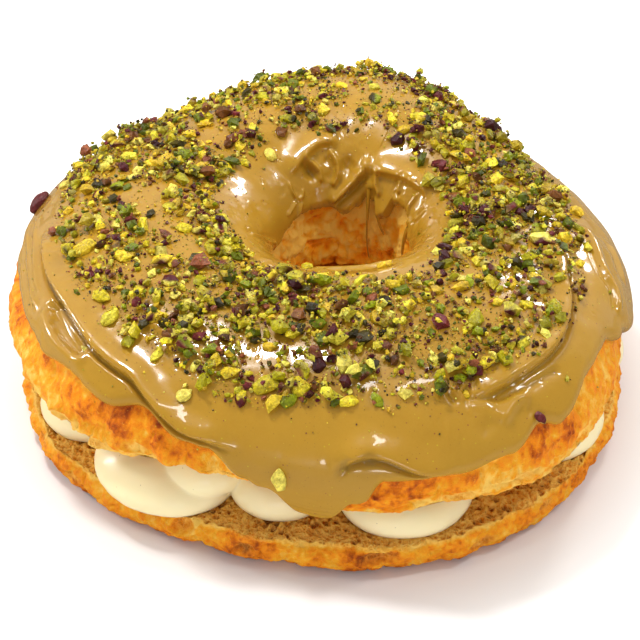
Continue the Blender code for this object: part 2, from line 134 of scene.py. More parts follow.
# ---------------------------------------------------------------------------------------------
# Relief of the icing. A stroke is a ridge along a way of (angle, turn) stops in degrees: height,
# half width on its left and on its right as it is walked, and depth of a groove on its right.
STROKES = (
    # the long knife ridge at the left and front, with the grooves outside it
    (4.2, 6, 0.8, 2.8, ((183, 40), (187.5, 43), (194, 44.5), (201, 45.2), (207, 46.8), (213, 47.3),
                        (218.5, 46.5), (223.5, 44), (229.5, 42), (234.5, 40.5), (237.5, 36),
                        (243, 28), (247, 22.5), (252, 21), (258, 19))),
    (1.2, 1.3, 1.0, 0.7, ((172, 25), (175.5, 27), (186.5, 32), (195.5, 34.5), (204, 35.5),
                          (209, 36))),
    (1.0, 1.1, 0.9, 0.7, ((174, 32), (178.5, 34), (189, 37.3), (197.5, 38.3), (205.5, 39))),
    (0.9, 1.1, 0.9, 0.6, ((178, 29), (188, 34.6), (197, 36.3), (203, 37.2))),
    (-3.6, 3.0, 3.4, 0.0, ((207, 43.5), (212, 43), (217.5, 41), (221.5, 39.6), (224.5, 39.5))),
    (1.9, 2.2, 3.0, 0.0, ((207, 39.5), (211, 37.8), (215.5, 36), (219.5, 35.6), (223, 36.2),
                          (225.5, 38.4))),
    (-1.2, 1.0, 1.0, 0.0, ((211, 39.5), (216, 38.2), (220.5, 37.8), (223.5, 38.6))),
    # the long fold at the right, with the wrinkles where it ends
    (4.2, 7, 0.9, 2.6, ((295.5, 47.5), (297, 44), (302, 45.5), (304.5, 46.5), (308, 47),
                        (312, 47.5), (316.5, 48.5), (321.5, 51.5), (326, 55), (329.5, 60),
                        (335, 62.5), (340, 66.5), (345, 70.5))),
    (-1.9, 1.2, 1.4, 0.0, ((292.3, 49.5), (292.8, 46), (293.6, 41.5))),
    (1.6, 1.3, 1.3, 0.0, ((293.6, 49.5), (294.2, 46), (295, 42))),
    (-1.8, 1.1, 1.2, 0.0, ((294.9, 49), (295.4, 45), (296.3, 41))),
    (-1.5, 1.5, 2.0, 0.0, ((297.5, 41.5), (301, 41), (305, 41.5), (310, 41.8), (314, 39))),
    (1.8, 3.0, 2.6, 0.6, ((298, 30), (300.5, 35), (303, 38.5), (307, 39))),
    (-1.4, 3.5, 2.6, 0.0, ((294.5, 27), (297.5, 32), (299.5, 37))),
    (2.2, 10, 8, 0.0, ((334, 25), (338, 30), (343, 37), (350, 44), (357, 49))),
    (1.9, 2.4, 1.1, 1.0, ((355.5, 56), (353.5, 50.5), (349, 48.5), (344.5, 46), (341, 42.5),
                          (339.5, 36.5), (337, 32), (334.5, 29))),
    (1.1, 3.0, 1.6, 0.6, ((357, 34.5), (353, 31), (349, 28), (345, 26))),
    (-1.0, 3, 4, 0.0, ((323, 45), (329, 47), (336, 51), (344, 58), (350, 62))),
    # the arc on the front drip
    (3.8, 6.5, 0.8, 2.2, ((272.5, 13.5), (274.5, 19), (277, 22.5), (279, 24), (281.5, 23),
                          (283.5, 20.5), (285.5, 17.5), (288.5, 15.5), (293, 15))),
    # the waves behind the hole
    (4.0, 1.6, 6.0, 0.8, ((88, 130.5), (93, 128.5), (101, 128), (108, 131), (114, 133.5),
                          (122, 137), (128, 140))),
    (-3.6, 4, 4, 0.0, ((104, 139), (110, 141.5), (117, 143.5))),
    (4.0, 1.4, 6.0, 0.8, ((14.5, 132), (25, 130.5), (39, 133), (54, 138.5), (67, 142.5),
                          (72, 141))),
    (4.2, 2.6, 1.3, 2.2, ((101, 165), (94, 161), (86, 157), (76.5, 149.5), (71, 141))),
    (-3.2, 3.6, 3.6, 0.0, ((78, 139), (84, 143), (92, 148))),
    (2.4, 1.6, 1.6, 1.0, ((97, 132), (93, 137), (90, 143), (92, 150), (98, 155))),
    (2.0, 1.3, 1.6, 0.8, ((62, 139), (63, 145), (60, 151), (55, 156))),
    (1.6, 1.1, 1.3, 0.6, ((45, 136), (43, 142), (40, 147))),
    (1.6, 1.1, 1.3, 0.6, ((28, 133), (26, 140), (27, 148), (24, 156))),
    (1.3, 1.0, 1.1, 0.5, ((12, 136), (10, 143), (12, 152))),
    (1.8, 1.4, 1.4, 0.8, ((112, 131), (108, 137), (103, 144), (105, 152))),
    (1.8, 2.6, 2.6, 0.0, ((60, 146), (66, 152), (70, 156))),
    # strands pulled over the back wall
    (1.2, 0.9, 0.9, 0.0, ((126.5, 141), (128.5, 148), (127, 155))),
    (1.1, 0.8, 0.8, 0.0, ((118.5, 149), (121, 154.5), (127, 155))),
    (1.2, 0.9, 0.9, 0.0, ((127, 155), (134, 158.5), (143, 161.5))),
    (1.3, 1.0, 1.0, 0.0, ((122, 156), (127, 162), (133, 168), (143, 172))),
    # the lip curled up at the near side of the hole, and fine lines at its left
    (1.3, 3.2, 3.8, 0.5, ((252, 130), (261, 127.5), (271, 130.5), (281, 132), (291, 133),
                          (301, 135))),
    (0.9, 1.2, 1.2, 0.4, ((166, 172), (180, 163), (191.5, 155), (200.5, 142), (205, 135))),
    # short lifts of the knife between the nuts
    (0.9, 1.2, 0.9, 0.4, ((186, 84), (187.5, 78), (190.5, 73))),
    (0.8, 2.5, 1.2, 0.3, ((228, 63), (236, 60), (244, 55), (250, 49))),
)
STROKE_STEPS = 20  # steps of a way between two stops
STROKE_FADE = 0.12  # share of a stroke over which it rises at each end
STROKE_TAPER = 1.8  # and at least this many times its wider half width
# Peaks where a wave ends: (angle, turn, height, radius), in degrees and mm.
PEAKS = ((93, 128.3, 2.4, 3.2), (71.2, 141, 2.8, 3.2), (50.5, 165, 1.2, 4), (87, 168, 1.6, 6))
# Puckered patches of the icing: (angle, turn, radius, height, size of the wrinkles), in mm.
PUCKERS = (
    (22, 148, 19, 0.75, 4.6), (40, 140, 12, 0.6, 4.0), (350, 150, 14, 0.4, 4.5),
    (295, 45, 11, 0.8, 4.2), (303, 38, 13, 0.55, 5.0), (290, 33, 12, 0.45, 5.5),
    (106, 146, 18, 0.6, 6.0), (82, 142, 14, 0.7, 5.0), (130, 152, 12, 0.5, 4.5),
    (193, 52, 12, 0.28, 3.6), (206, 56, 12, 0.24, 3.2), (240, 60, 16, 0.30, 3.4),
    (214, 30, 11, 0.35, 5.5), (330, 56, 12, 0.35, 4.5), (318, 60, 12, 0.22, 3.6),
    (60, 52, 14, 0.4, 6), (262, 122, 14, 0.35, 5),
)
PIT_COUNT = 130
PIT_SEED = 31

LIP = 7 * MM  # the icing rounds off over this length at its edges
TURN_REACH = 58 * MM  # length of the section for each radian of turn

# Torn pockets in the crust: angle, height, half length, half height and depth, in degrees and mm.
UPPER_POCKETS = (
    (222.5, 45, 6, 3.4, 2.4), (229, 42, 9, 2.6, 2.0), (238, 48, 6, 2.2, 1.2),
    (206, 43, 5, 2.6, 1.4),
    (292, 42, 7, 2.4, 1.4), (303, 44, 6, 2.4, 1.5), (316, 47, 6, 2.6, 1.2), (186, 44, 6, 3, 1.2),
    (30, 45, 8, 3, 1.6), (75, 42, 7, 3, 1.5), (112, 47, 8, 3, 1.6), (150, 43, 7, 3, 1.5),
)
LOWER_POCKETS = (
    (246.5, 12.5, 4.5, 3.2, 2.6), (240, 12, 5, 2.2, 1.6), (265, 4.5, 5, 2.2, 1.8),
    (280, 11.5, 7.5, 2.8, 2.6), (258, 10.5, 4, 3, 1.8), (222, 9, 6, 2.4, 1.4),
    (297, 9, 6, 2.4, 1.2),
    (212, 12, 6, 2, 1.2), (310, 12, 5, 2.2, 1.2), (20, 10, 7, 3, 1.6), (64, 9, 7, 3, 1.8),
    (105, 11, 7, 3, 1.6), (140, 9, 7, 3, 1.8), (170, 10, 6, 3, 1.4),
)
# Burnt knobs on the upper crust: angle, height, radius, rise.
KNOBS = ((244.5, 47.5, 5.0, 3.0), (250.5, 44.5, 4.0, 2.6), (197, 52, 5, 1.2), (330, 40, 5, 1.4))

# How much higher or lower than the CAD's cut edge the torn rim is, as (angle, mm).
TORN_RIM = (
    (0, 0), (194, 0), (200, 2.4), (206, 2.2), (212, 0), (218.5, -2), (223.5, 1.2), (227.4, 3.4),
    (228.0, -5.0), (231, -2.2), (236, -2.2), (240, 0.5), (244, 0.8), (248, 2.0),
    (250.5, -0.6), (254, -0.6), (262, 0), (300, 0),
)

# How much further out the lower half's side is at places, as (angle, mm).
LOWER_SWELL = (
    (0, 0), (254, 0), (262, 0.7), (268, 1.0), (272.5, 0.2), (276, -0.9), (280, 0.2), (285, 1.2),
    (292, 1.2), (299, 0.6), (306, 0),
)

# The lower half, in mm: (inset, height) of its side, how far its cut face lies below the cut at
# shares of the way out, and (radius, height) of rings down its hole.
LOWER_PROFILE = ((-9, 0), (-3.0, 2.2), (0, 8), (-1.4, 13), (-3.5, 17))
LEDGE_DROP = ((0, 0.5, 0.88, 1.0), (0.8, 0.6, 1.2, 0.3))
LOWER_HOLE = ((34.3, 14), (34, 7), (35.5, 3), (38, 0))

# Finer than the CAD's: points round a ring, and rows or steps of a section.
BREAD_STEPS = 1700
ICING_STEPS = 1350
CREAM_STEPS = 900
ICING_ROWS = 175
LIP_ROWS = 18
UNDER_ROWS = 12
BAND_ROWS = 44
COVERED_ROWS = 14
SHAFT_ROWS = 30
CREAM_ROWS = 44
STRING_STEPS = 28

UNDER_ICING = 0.06  # turn by which the crust's detail goes on under the icing's edge
WALL_TURN = 0.12  # turn before the icing's edge in the hole at which the hole's wall starts


def ring_curve(samples, angle):
    """A smooth closed curve through samples that are equally spaced round the ring."""
    waves = np.fft.rfft(samples) / len(samples)
    total = np.full_like(angle, waves[0].real)
    for k in range(1, len(waves)):
        share = 1 if 2 * k == len(samples) else 2
        total += share * (waves[k].real * np.cos(k * angle) - waves[k].imag * np.sin(k * angle))
    return total


def eased(knots, angle):
    """A closed curve that eases from each (degrees, value) knot to the next."""
    at = np.array([knot[0] for knot in knots], float)
    value = np.array([knot[1] for knot in knots], float)
    at = np.concatenate([[at[-1] - 360], at, [at[0] + 360]])
    value = np.concatenate([[value[-1]], value, [value[0]]])
    degrees = np.degrees(angle) % 360
    after = np.clip(np.searchsorted(at, degrees), 1, len(at) - 1)
    share = (degrees - at[after - 1]) / (at[after] - at[after - 1])
    ease = 0.5 - 0.5 * np.cos(math.pi * share)
    return value[after - 1] + (value[after] - value[after - 1]) * ease


def mixed_bits(key):
    """Numbers from 0 to 1 that look random, one for each lattice corner."""
    bits = (key[..., 0] ^ key[..., 1] ^ key[..., 2]) & 0xFFFFFF
    bits = (bits * (bits * bits * 15731 + 789221) + 1376312589) & 0x7FFFFFFF
    return bits / 0x7FFFFFFF


def lattice_noise(points, size, seed):
    """Smooth noise from -1 to 1 over points, with features about as large as size."""
    scaled = points / size + seed * 17.3
    cell = np.floor(scaled).astype(np.int64)
    part = scaled - cell
    part = part * part * (3 - 2 * part)
    total = np.zeros(points.shape[:-1])
    for corner in range(8):
        step = np.array([corner & 1, corner >> 1 & 1, corner >> 2 & 1])
        key = (cell + step) * np.array([73856093, 19349663, 83492791])
        weight = np.prod(np.where(step, part, 1 - part), axis=-1)
        total += weight * (2 * mixed_bits(key) - 1)
    return total


def noises(points, start, *waves):
    """A start value with noise of several sizes added, each as (weight, size in mm, seed)."""
    total = start
    for weight, size, seed in waves:
        total = total + weight * lattice_noise(points, size * MM, seed)
    return total


def pore_distance(points, size, seed):
    """Distance from each point to the nearest of scattered centres, one in each cell, in cells."""
    scaled = points / size + seed * 11.7
    cell = np.floor(scaled).astype(np.int64)
    nearest = np.full(points.shape[:-1], 9.0)
    for step in np.ndindex(3, 3, 3):
        corner = cell + np.array(step) - 1
        key = corner * np.array([73856093, 19349663, 83492791])
        spots = [mixed_bits(key + shift) for shift in (11, 271, 9173)]
        away = np.linalg.norm(corner + np.stack(spots, -1) - scaled, axis=-1)
        nearest = np.minimum(nearest, away)
    return nearest


def normalised(vectors):
    return vectors / np.linalg.norm(vectors, axis=-1, keepdims=True)


def smooth_step(value):
    value = np.clip(value, 0, 1)
    return value * value * (3 - 2 * value)


def across(theta, share, outline, hole_radius=HOLE_RADIUS):
    """The x and y that lie a share of the way from the hole's wall to the outline."""
    heading = np.stack([np.cos(theta), np.sin(theta)], -1)
    outer = MIDDLE + ring_curve(outline, theta)[..., None] * heading
    inner = HOLE_CENTRE + hole_radius * heading
    return inner + (outer - inner) * share[..., None]


def ring(theta, share, outline, height, hole_radius=HOLE_RADIUS):
    """Points round the cake, a share of the way out and at a height."""
    flat = across(theta, np.full_like(theta, share), outline, hole_radius)
    return np.column_stack([flat, np.broadcast_to(height, theta.shape)])


def rows_between(start, end, count):
    """Rows in count equal steps from one curve of turns to another, with both of them."""
    return np.array([start + (end - start) * k / count for k in range(count + 1)])


def degrees_from(theta, angle):
    """How many degrees each theta lies past the angle, from -180 to 180."""
    return (np.degrees(theta) - angle + 180) % 360 - 180


def cut_height(theta):
    return eased(CUT_EDGE, theta) * MM


def bread_dome(theta, turn):
    """Points of the upper crust. The turn runs from -90 degrees at the cut edge, over 90 at the
    crest, to 180 at the hole's wall."""
    crest = ring_curve(CREST, theta)
    curl = np.cos(np.where(turn > 0, turn, turn * TUCK))
    outer_share = CREST_SHARE + (1 - CREST_SHARE) * curl
    inner_share = CREST_SHARE - CREST_SHARE * np.abs(np.cos(turn))
    share = np.where(turn < math.pi / 2, outer_share, inner_share)
    below = WIDEST_HEIGHT - cut_height(theta)
    reach = np.where(turn > 0, crest - WIDEST_HEIGHT, below)
    height = WIDEST_HEIGHT + reach * np.sin(turn)
    return np.concatenate([across(theta, share, UPPER_OUTLINE), height[..., None]], -1)


def dome_normal(theta, turn):
    step = 1e-3
    along = bread_dome(theta + step, turn) - bread_dome(theta - step, turn)
    over = bread_dome(theta, turn + step) - bread_dome(theta, turn - step)
    return normalised(np.cross(along, over))


def dome_spot(angle, turn):
    """The point of the dome at an angle and a turn in degrees."""
    return bread_dome(np.radians([float(angle)]), np.radians([float(turn)]))[0]


def underside_height(theta, share):
    """Height of the upper half's cut face: flat, and sloping down to the lip at the hole."""
    outer = cut_height(theta)
    slope = np.clip((share - SLOPE_START) / (SLOPE_END - SLOPE_START), 0, 1)
    return HOLE_LIP + (outer - HOLE_LIP) * slope


def round_angles(steps):
    return np.arange(steps) * FULL_TURN / steps


def outward(theta):
    return np.stack([np.cos(theta), np.sin(theta), np.zeros_like(theta)], -1)


# ---------------------------------------------------------------------------------------------
# Meshes


def mesh_object(name, points, faces, material, tint=None, smooth=True):
    """A mesh from arrays of points and faces, with an optional colour a point."""
    mesh = bpy.data.meshes.new(name)
    mesh.vertices.add(len(points))
    mesh.vertices.foreach_set("co", np.asarray(points, np.float32).ravel())
    sides = faces.shape[1]
    mesh.loops.add(faces.size)
    mesh.loops.foreach_set("vertex_index", np.asarray(faces, np.int32).ravel())
    mesh.polygons.add(len(faces))
    mesh.polygons.foreach_set("loop_start", np.arange(0, faces.size, sides, dtype=np.int32))
    mesh.update(calc_edges=True)
    if smooth:
        mesh.shade_smooth()
    else:
        mesh.shade_flat()
    if tint is not None:
        colours = mesh.color_attributes.new("tint", "FLOAT_COLOR", "POINT")
        opaque = np.ones((len(points), 4), np.float32)
        opaque[:, :3] = tint
        colours.data.foreach_set("color", opaque.ravel())
    mesh.materials.append(material)
    obj = bpy.data.objects.new(name, mesh)
    bpy.context.scene.collection.objects.link(obj)
    return obj


def ring_faces(rows, steps):
    """Quads of a closed ring whose section runs outer side upwards first."""
    index = np.arange(rows * steps).reshape(rows, steps)
    beside = np.roll(index, -1, 1)
    quads = np.stack([index, beside, np.roll(beside, -1, 0), np.roll(index, -1, 0)], -1)
    return quads.reshape(-1, 4)


def place(obj, node=None):
    """Fixes a piece to the cake: it keeps inside the CAD's box, rides on the one body, and may
    stand for a CAD node."""
    points = np.zeros(3 * len(obj.data.vertices), np.float32)
    obj.data.vertices.foreach_get("co", points)
    inside = np.clip(points.reshape(-1, 3), np.array(cad_box[0]), np.array(cad_box[1]))
    obj.data.vertices.foreach_set("co", inside.astype(np.float32).ravel())
    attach(obj, "root")
    if node:
        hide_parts(node)
    return obj


# ---------------------------------------------------------------------------------------------
# Icing


def way_frame(way):
    """Points along a way on the dome, and the direction to the right of it at each."""
    stops = np.radians(np.array(way, float))
    shares = np.linspace(0, 1, STROKE_STEPS, endpoint=False)
    legs = [a + (b - a) * shares[:, None] for a, b in zip(stops[:-1], stops[1:])]
    path = np.concatenate([*legs, stops[-1:]])
    for _ in range(2):  # rounds the corners between the legs
        wide = np.pad(path, ((6, 6), (0, 0)), mode="edge")
        path = np.mean([wide[k:k + len(path)] for k in range(13)], axis=0)
    points = bread_dome(path[:, 0], path[:, 1])
    ahead = np.gradient(points, axis=0)
    return points, normalised(np.cross(ahead, dome_normal(path[:, 0], path[:, 1])))


def stroke_relief(points, height, left, right, groove, way):
    """Height that one stroke adds at each of the points."""
    path, sideways = way_frame(way)
    margin = max(3.2 * left, 5.5 * right)
    relief = np.zeros(len(points))
    inside = np.all((points > path.min(0) - margin) & (points < path.max(0) + margin), axis=-1)
    chosen = points[inside]
    nearest = np.full(len(chosen), np.inf)
    at = np.zeros(len(chosen), int)
    for k, stop in enumerate(path):
        away = np.sum((chosen - stop) ** 2, axis=-1)
        closer = away < nearest
        nearest[closer] = away[closer]
        at[closer] = k
    side = np.sum((chosen - path[at]) * sideways[at], axis=-1)
    away = np.sqrt(nearest) * np.sign(side)
    steps = np.linalg.norm(np.diff(path, axis=0), axis=-1)
    walked = np.concatenate([[0], np.cumsum(steps)])
    taper = min(max(STROKE_FADE * walked[-1], STROKE_TAPER * max(left, right)), 0.5 * walked[-1])
    fade = smooth_step(walked[at] / taper) * smooth_step((walked[-1] - walked[at]) / taper)
    width = np.where(away < 0, left, right)
    shape = height * np.exp(-((away / width) ** 2))
    shape -= groove * np.exp(-(((away - 2.3 * right) / (1.2 * right)) ** 2))
    relief[inside] = fade * shape
    return relief


def icing_depth(theta, turn):
    """Thickness of the icing, with the marks that the knife left in it."""
    shape = theta.shape
    theta, turn = theta.ravel(), turn.ravel()
    points = bread_dome(theta, turn)
    depth = ICING + MM * noises(points, 0, (0.6, 28, 3), (0.30, 13, 4), (0.15, 5.5, 6),
                                (0.045, 2.6, 7))
    streaks = np.stack([theta * 3.2, turn * 13, 0 * theta], -1)
    outside = smooth_step((100 - np.degrees(turn)) / 20)
    depth += 0.14 * MM * lattice_noise(streaks, 1.0, 5) * outside
    for height, left, right, groove, way in STROKES:
        depth += stroke_relief(points, height * MM, left * MM, right * MM, groove * MM, way)
    for seed, (angle, at, radius, height, size) in enumerate(PUCKERS):
        away = np.linalg.norm(points - dome_spot(angle, at), axis=-1) / (radius * MM)
        near = away < 1
        wrinkles = lattice_noise(warped(points[near], 300 + seed), size * MM, 200 + seed)
        fade = smooth_step(1.3 - away[near] * 1.3)
        depth[near] += height * MM * fade * (0.5 - np.abs(wrinkles) * 1.6)
    for angle, at, height, radius in PEAKS:
        away = np.linalg.norm(points - dome_spot(angle, at), axis=-1) / (radius * MM)
        depth += height * MM * np.exp(-away * away)
    for spot, radius, deep in pits():
        near = np.abs(points[:, 0] - spot[0]) < 4 * radius
        away = np.linalg.norm(points[near] - spot, axis=-1) / radius
        depth[near] += deep * (0.35 * np.exp(-((away - 1.5) ** 2) * 6) - np.exp(-away * away))
    return depth.reshape(shape)


def pits():
    """Burst bubbles in the icing: place, radius and depth."""
    draw = random.Random(PIT_SEED)
    found = []
    for _ in range(PIT_COUNT):
        angle, turn = draw.uniform(0, 360), draw.uniform(20, 145)
        if draw.random() < 0.5:
            angle, turn = draw.gauss(240, 9), draw.gauss(57, 6)
        spot = dome_spot(angle, turn)
        found.append((spot, draw.uniform(0.5, 1.1) * MM, draw.uniform(0.25, 0.6) * MM))
    return found


def icing_point(theta, turn):
    """A point of the icing's surface and the way out of it."""
    normal = dome_normal(theta, turn)
    return bread_dome(theta, turn) + normal * icing_depth(theta, turn)[..., None], normal


def icing_edges(theta, ragged=0):
    """Turns at which the icing ends, at the outside and in the hole."""
    edge = np.radians(eased(ICING_EDGE, theta) + 0.7 * ragged) - OVERHANG
    hole_edge = np.radians(eased(ICING_HOLE_EDGE, theta) + 0.8 * ragged) + OVERHANG
    return edge, hole_edge


def lip_share(turn, edge, hole_edge):
    """The share of its depth that the icing has, falling round to nothing at its two edges."""
    inward = np.clip(np.minimum(turn - edge, hole_edge - turn) * TURN_REACH / LIP, 0, 1)
    return np.sqrt(1 - (1 - inward) ** 2)


def make_icing():
    theta = round_angles(ICING_STEPS)
    edge, hole_edge = icing_edges(theta, noises(outward(theta), 0, (1, 60, 21), (0.5, 25, 22)))
    lip = LIP / TURN_REACH
    lip_shares = np.linspace(0, 1, LIP_ROWS, endpoint=False) ** 1.6
    turn = np.concatenate([
        [edge + lip * share for share in lip_shares],
        rows_between(edge + lip, hole_edge - lip, ICING_ROWS),
        [hole_edge - lip * share for share in lip_shares[::-1]]])
    around = np.broadcast_to(theta, turn.shape)
    depth = icing_depth(around, turn) * lip_share(turn, edge, hole_edge)
    over = bread_dome(around, turn)
    over += dome_normal(around, turn) * np.maximum(depth, GAP)[..., None]
    turn = rows_between(hole_edge, edge, UNDER_ROWS)
    around = np.broadcast_to(theta, turn.shape)
    under = bread_dome(around, turn) + dome_normal(around, turn) * (0.5 * GAP)
    points = np.concatenate([over, under])
    faces = ring_faces(len(points), ICING_STEPS)
    return mesh_object("icing_coat", points.reshape(-1, 3), faces, icing_material())


def tube(points, radii, sides=10):
    """Points and faces of an open tube along a path."""
    ahead = normalised(np.gradient(points, axis=0))
    sideways = normalised(np.cross(ahead, [0.3, 0.9, 0.2]))
    other = np.cross(ahead, sideways)
    spin = round_angles(sides)[:, None]
    rings = points[:, None] + radii[:, None, None] * (
        np.cos(spin) * sideways[:, None] + np.sin(spin) * other[:, None])
    index = np.arange(len(points) * sides).reshape(len(points), sides)
    beside = np.roll(index, -1, 1)
    faces = np.stack([index[:-1], beside[:-1], beside[1:], index[1:]], -1).reshape(-1, 4)
    return rings.reshape(-1, 3), faces


def joined(parts):
    """The points and faces of many lumps as one."""
    starts = np.cumsum([0] + [len(part[0]) for part in parts[:-1]])
    points = np.concatenate([part[0] for part in parts])
    return points, np.concatenate([part[1] + start for part, start in zip(parts, starts)])


# Strings of icing that hang down the wet crust in the hole: (angle, turn) where each leaves the
# icing, angle and height where it ends, and its thickness.
STRINGS = (
    (67, 150, 65, 26, 0.8), (57, 158, 52.5, 44, 1.1), (20, 158, 23, 30, 0.9),
)


def make_strings():
    parts = []
    share = np.linspace(0, 1, STRING_STEPS)
    for angle, turn, end_angle, end_height, thickness in STRINGS:
        sway = 1.3 * np.sin(5 * share + angle) * share
        theta = np.radians(angle + (end_angle - angle) * share + sway)
        top = dome_spot(angle, turn)[2]
        height = top + (end_height * MM - top) * share
        path = ring(theta, 0.0, UPPER_OUTLINE, height, HOLE_RADIUS - 1.2 * MM)
        path[:, :2] += 2.4 * MM * np.sin(share * math.pi)[:, None] * -outward(theta)[:, :2]
        radii = thickness * MM * (1.15 - 0.75 * share + 0.25 * np.sin(9 * share) * (1 - share))
        radii[-1] *= 0.3
        parts.append(tube(path, radii))
    return mesh_object("icing_strings", *joined(parts), icing_material())


# ---------------------------------------------------------------------------------------------
# Bread


def warped(points, seed):
    """Points pushed about by noise, so that what is made from them looks torn."""
    push = [lattice_noise(points, 9 * MM, seed + k) for k in range(3)]
    return points + 3 * MM * np.stack(push, -1)


def crust_relief(points, seed):
    """Fine wrinkles, blisters and torn lines of baked crust, as a depth along the outward way."""
    torn = warped(points * np.array([1, 1, 1.5]), seed)
    lines = 1 - np.abs(lattice_noise(torn, 9 * MM, seed + 4))
    fine_lines = 1 - np.abs(lattice_noise(torn, 4.2 * MM, seed + 5))
    relief = noises(points, 0, (0.70, 5.5, seed + 6), (0.55, 2.6, seed + 7), (0.34, 1.3, seed + 8))
    return (relief - 1.2 * lines ** 10 - 0.8 * fine_lines ** 8) * MM


def swell(theta, turn):
    """How far the upper half's bare crust swells out."""
    away = (np.degrees(theta) % 360 - BULGE_ANGLE) / BULGE_WIDTH
    return BULGE * np.exp(-away * away) * np.cos(turn)


def cragged(theta, points, fade, seed=20, swollen=0.0):
    """Points of the side moved in and out by the crags of the baked crust, and how far."""
    depth = CRAG_INSET + WIDE_DEPTH * lattice_noise(points, WIDE_CRAG, 1)
    depth += FINE_DEPTH * lattice_noise(points, FINE_CRAG, 2)
    depth += crust_relief(points, seed) + swollen
    return points + outward(theta) * (depth * fade)[..., None], depth


def pocket_relief(theta, height, pockets):
    """Depth of the torn pockets, and how far each point lies in one, from 0 to 1."""
    relief = np.zeros_like(theta)
    inside = np.zeros_like(theta)
    for angle, at, half_length, half_height, deep in pockets:
        along = degrees_from(theta, angle)
        tilt = height / MM - at - 0.25 * along
        away = np.hypot(along / (half_length * 0.42), tilt / half_height)
        relief -= deep * MM * smooth_step(1.35 - away)
        relief += 0.4 * deep * MM * np.exp(-((away - 1.35) ** 2) * 14)
        inside = np.maximum(inside, smooth_step(1.35 - away))
    return relief, inside


def knob_relief(points, theta):
    """How far the burnt knobs stand out."""
    rise = np.zeros_like(theta)
    for angle, height, radius, high in KNOBS:
        centre = ring(np.radians([angle]), 1.0, UPPER_OUTLINE, height * MM)[0]
        away = np.linalg.norm(points - centre, axis=-1) / (radius * MM)
        rise += high * MM * np.exp(-away * away)
    return rise


def bread_ring(name, bands):
    """A ring of bread from bands of (points, tint), in the order in which its section runs."""
    points = np.concatenate([band for band, _ in bands])
    tints = np.concatenate([np.broadcast_to(tint, band.shape) for band, tint in bands])
    return mesh_object(name, points.reshape(-1, 3), ring_faces(*points.shape[:2]),
                       bread_material(), tints.reshape(-1, 3))


def make_upper_bread():
    theta = round_angles(BREAD_STEPS)
    edge, hole_edge = icing_edges(theta)
    band = rows_between(np.full_like(theta, -math.pi / 2), edge + UNDER_ICING, BAND_ROWS)
    around = np.broadcast_to(theta, band.shape)
    points = bread_dome(around, band)
    # the cut edge is torn, not straight
    torn = noises(points, 0, (1.0, 8, 41), (0.9, 2.6, 42)) + eased(TORN_RIM, around)
    points[..., 2] += torn * MM * smooth_step(1 - (band + math.pi / 2) / 0.9)
    fade = smooth_step((edge - band) / 0.07)
    swollen = swell(around, band)
    points, relief = cragged(around, points, fade, swollen=swollen)
    relief -= swollen
    pockets, inside = pocket_relief(around, points[..., 2], UPPER_POCKETS)
    knobs = knob_relief(points, around)
    points += outward(around) * ((pockets + knobs) * fade)[..., None]
    above_cut = (points[..., 2] - cut_height(around)) / MM
    brown = noises(points, 0.40, (0.20, 19, 51), (0.20, 6, 52), (0.22, 2.4, 55), (0.16, 1.2, 57))
    brown += 0.12 * relief / MM + 0.10 * knobs / MM - 0.30 * inside
    brown -= 0.45 * np.exp(-np.maximum(above_cut, 0) / 2.2)
    brown += 0.22 * smooth_step((above_cut - 6) / 14)
    open_crumb = 0.75 * inside + 0.6 * np.exp(-np.maximum(above_cut, 0))
    tint = np.stack([brown, open_crumb, np.zeros_like(brown)], -1)

    covered = rows_between(edge + UNDER_ICING, hole_edge - WALL_TURN, COVERED_ROWS)[1:-1]
    around = np.broadcast_to(theta, covered.shape)
    hidden = bread_dome(around, covered) - dome_normal(around, covered) * (0.3 * MM)

    wall = rows_between(hole_edge - WALL_TURN, math.pi, COVERED_ROWS)
    inner = list(bread_dome(np.broadcast_to(theta, wall.shape), wall))
    for drop in np.linspace(0, 1, SHAFT_ROWS)[1:]:
        height = WIDEST_HEIGHT + (HOLE_LIP - WIDEST_HEIGHT) * drop
        waist = 2 * MM * math.sin(min(1.0, drop * 2) * math.pi / 2)
        radius = HOLE_RADIUS - waist + 1 * MM * drop ** 2
        inner.append(ring(theta, 0.0, UPPER_OUTLINE, height, radius))
    inner = np.array(inner)
    around = np.broadcast_to(theta, inner.shape[:2])
    depth = noises(inner, 0, (1.7, 9, 61), (1.5, 4.2, 62), (0.8, 1.9, 63))
    depth -= (1 - np.abs(lattice_noise(warped(inner, 64), 8 * MM, 65))) ** 12
    clear = smooth_step((np.arange(len(inner))[:, None] - 6) / 8)
    inner = inner - outward(around) * ((depth - 0.3) * MM * clear)[..., None]
    # Painted shade: the crust down the hole is painted browner, so darker, towards the bottom, and
    # darker in its hollows than on its lumps. The wetness, which also grows towards the bottom, is
    # the crust's own.
    low = smooth_step((WIDEST_HEIGHT + 10 * MM - inner[..., 2]) / (34 * MM))
    brown = noises(inner, 0.08, (0.14, 9, 66), (0.25, 3, 67)) + 0.45 * low ** 3 - 0.20 * depth
    hole_tint_with_painted_shade = np.stack([brown, np.zeros_like(low), 0.35 + 0.65 * low], -1)

    under = np.array([ring(theta, share, UPPER_OUTLINE, underside_height(theta, share))
                      for share in (0.06, 0.28, 0.6, 0.9, 0.97)])
    crumb = (0.2, 1.0, 0)
    return bread_ring("upper_bread", (
        (points, tint), (hidden, crumb), (inner, hole_tint_with_painted_shade), (under, crumb)))


def crumb_relief(points):
    """Airy, stringy crumb on a cut face: open pores of several sizes, as a depth below the cut."""
    stretched = warped(points * np.array([1.0, 1.0, 0.7]), 71)
    large = pore_distance(stretched, 3.8 * MM, 1)
    small = pore_distance(stretched, 1.7 * MM, 2)
    opened = smooth_step(noises(points, 0.45, (1.1, 11, 73)))
    deep = 1.9 * opened * smooth_step((0.58 - large) / 0.4)
    deep += 0.9 * smooth_step((0.66 - small) / 0.45)
    return noises(stretched, deep, (0.3, 1.2, 74)) * MM


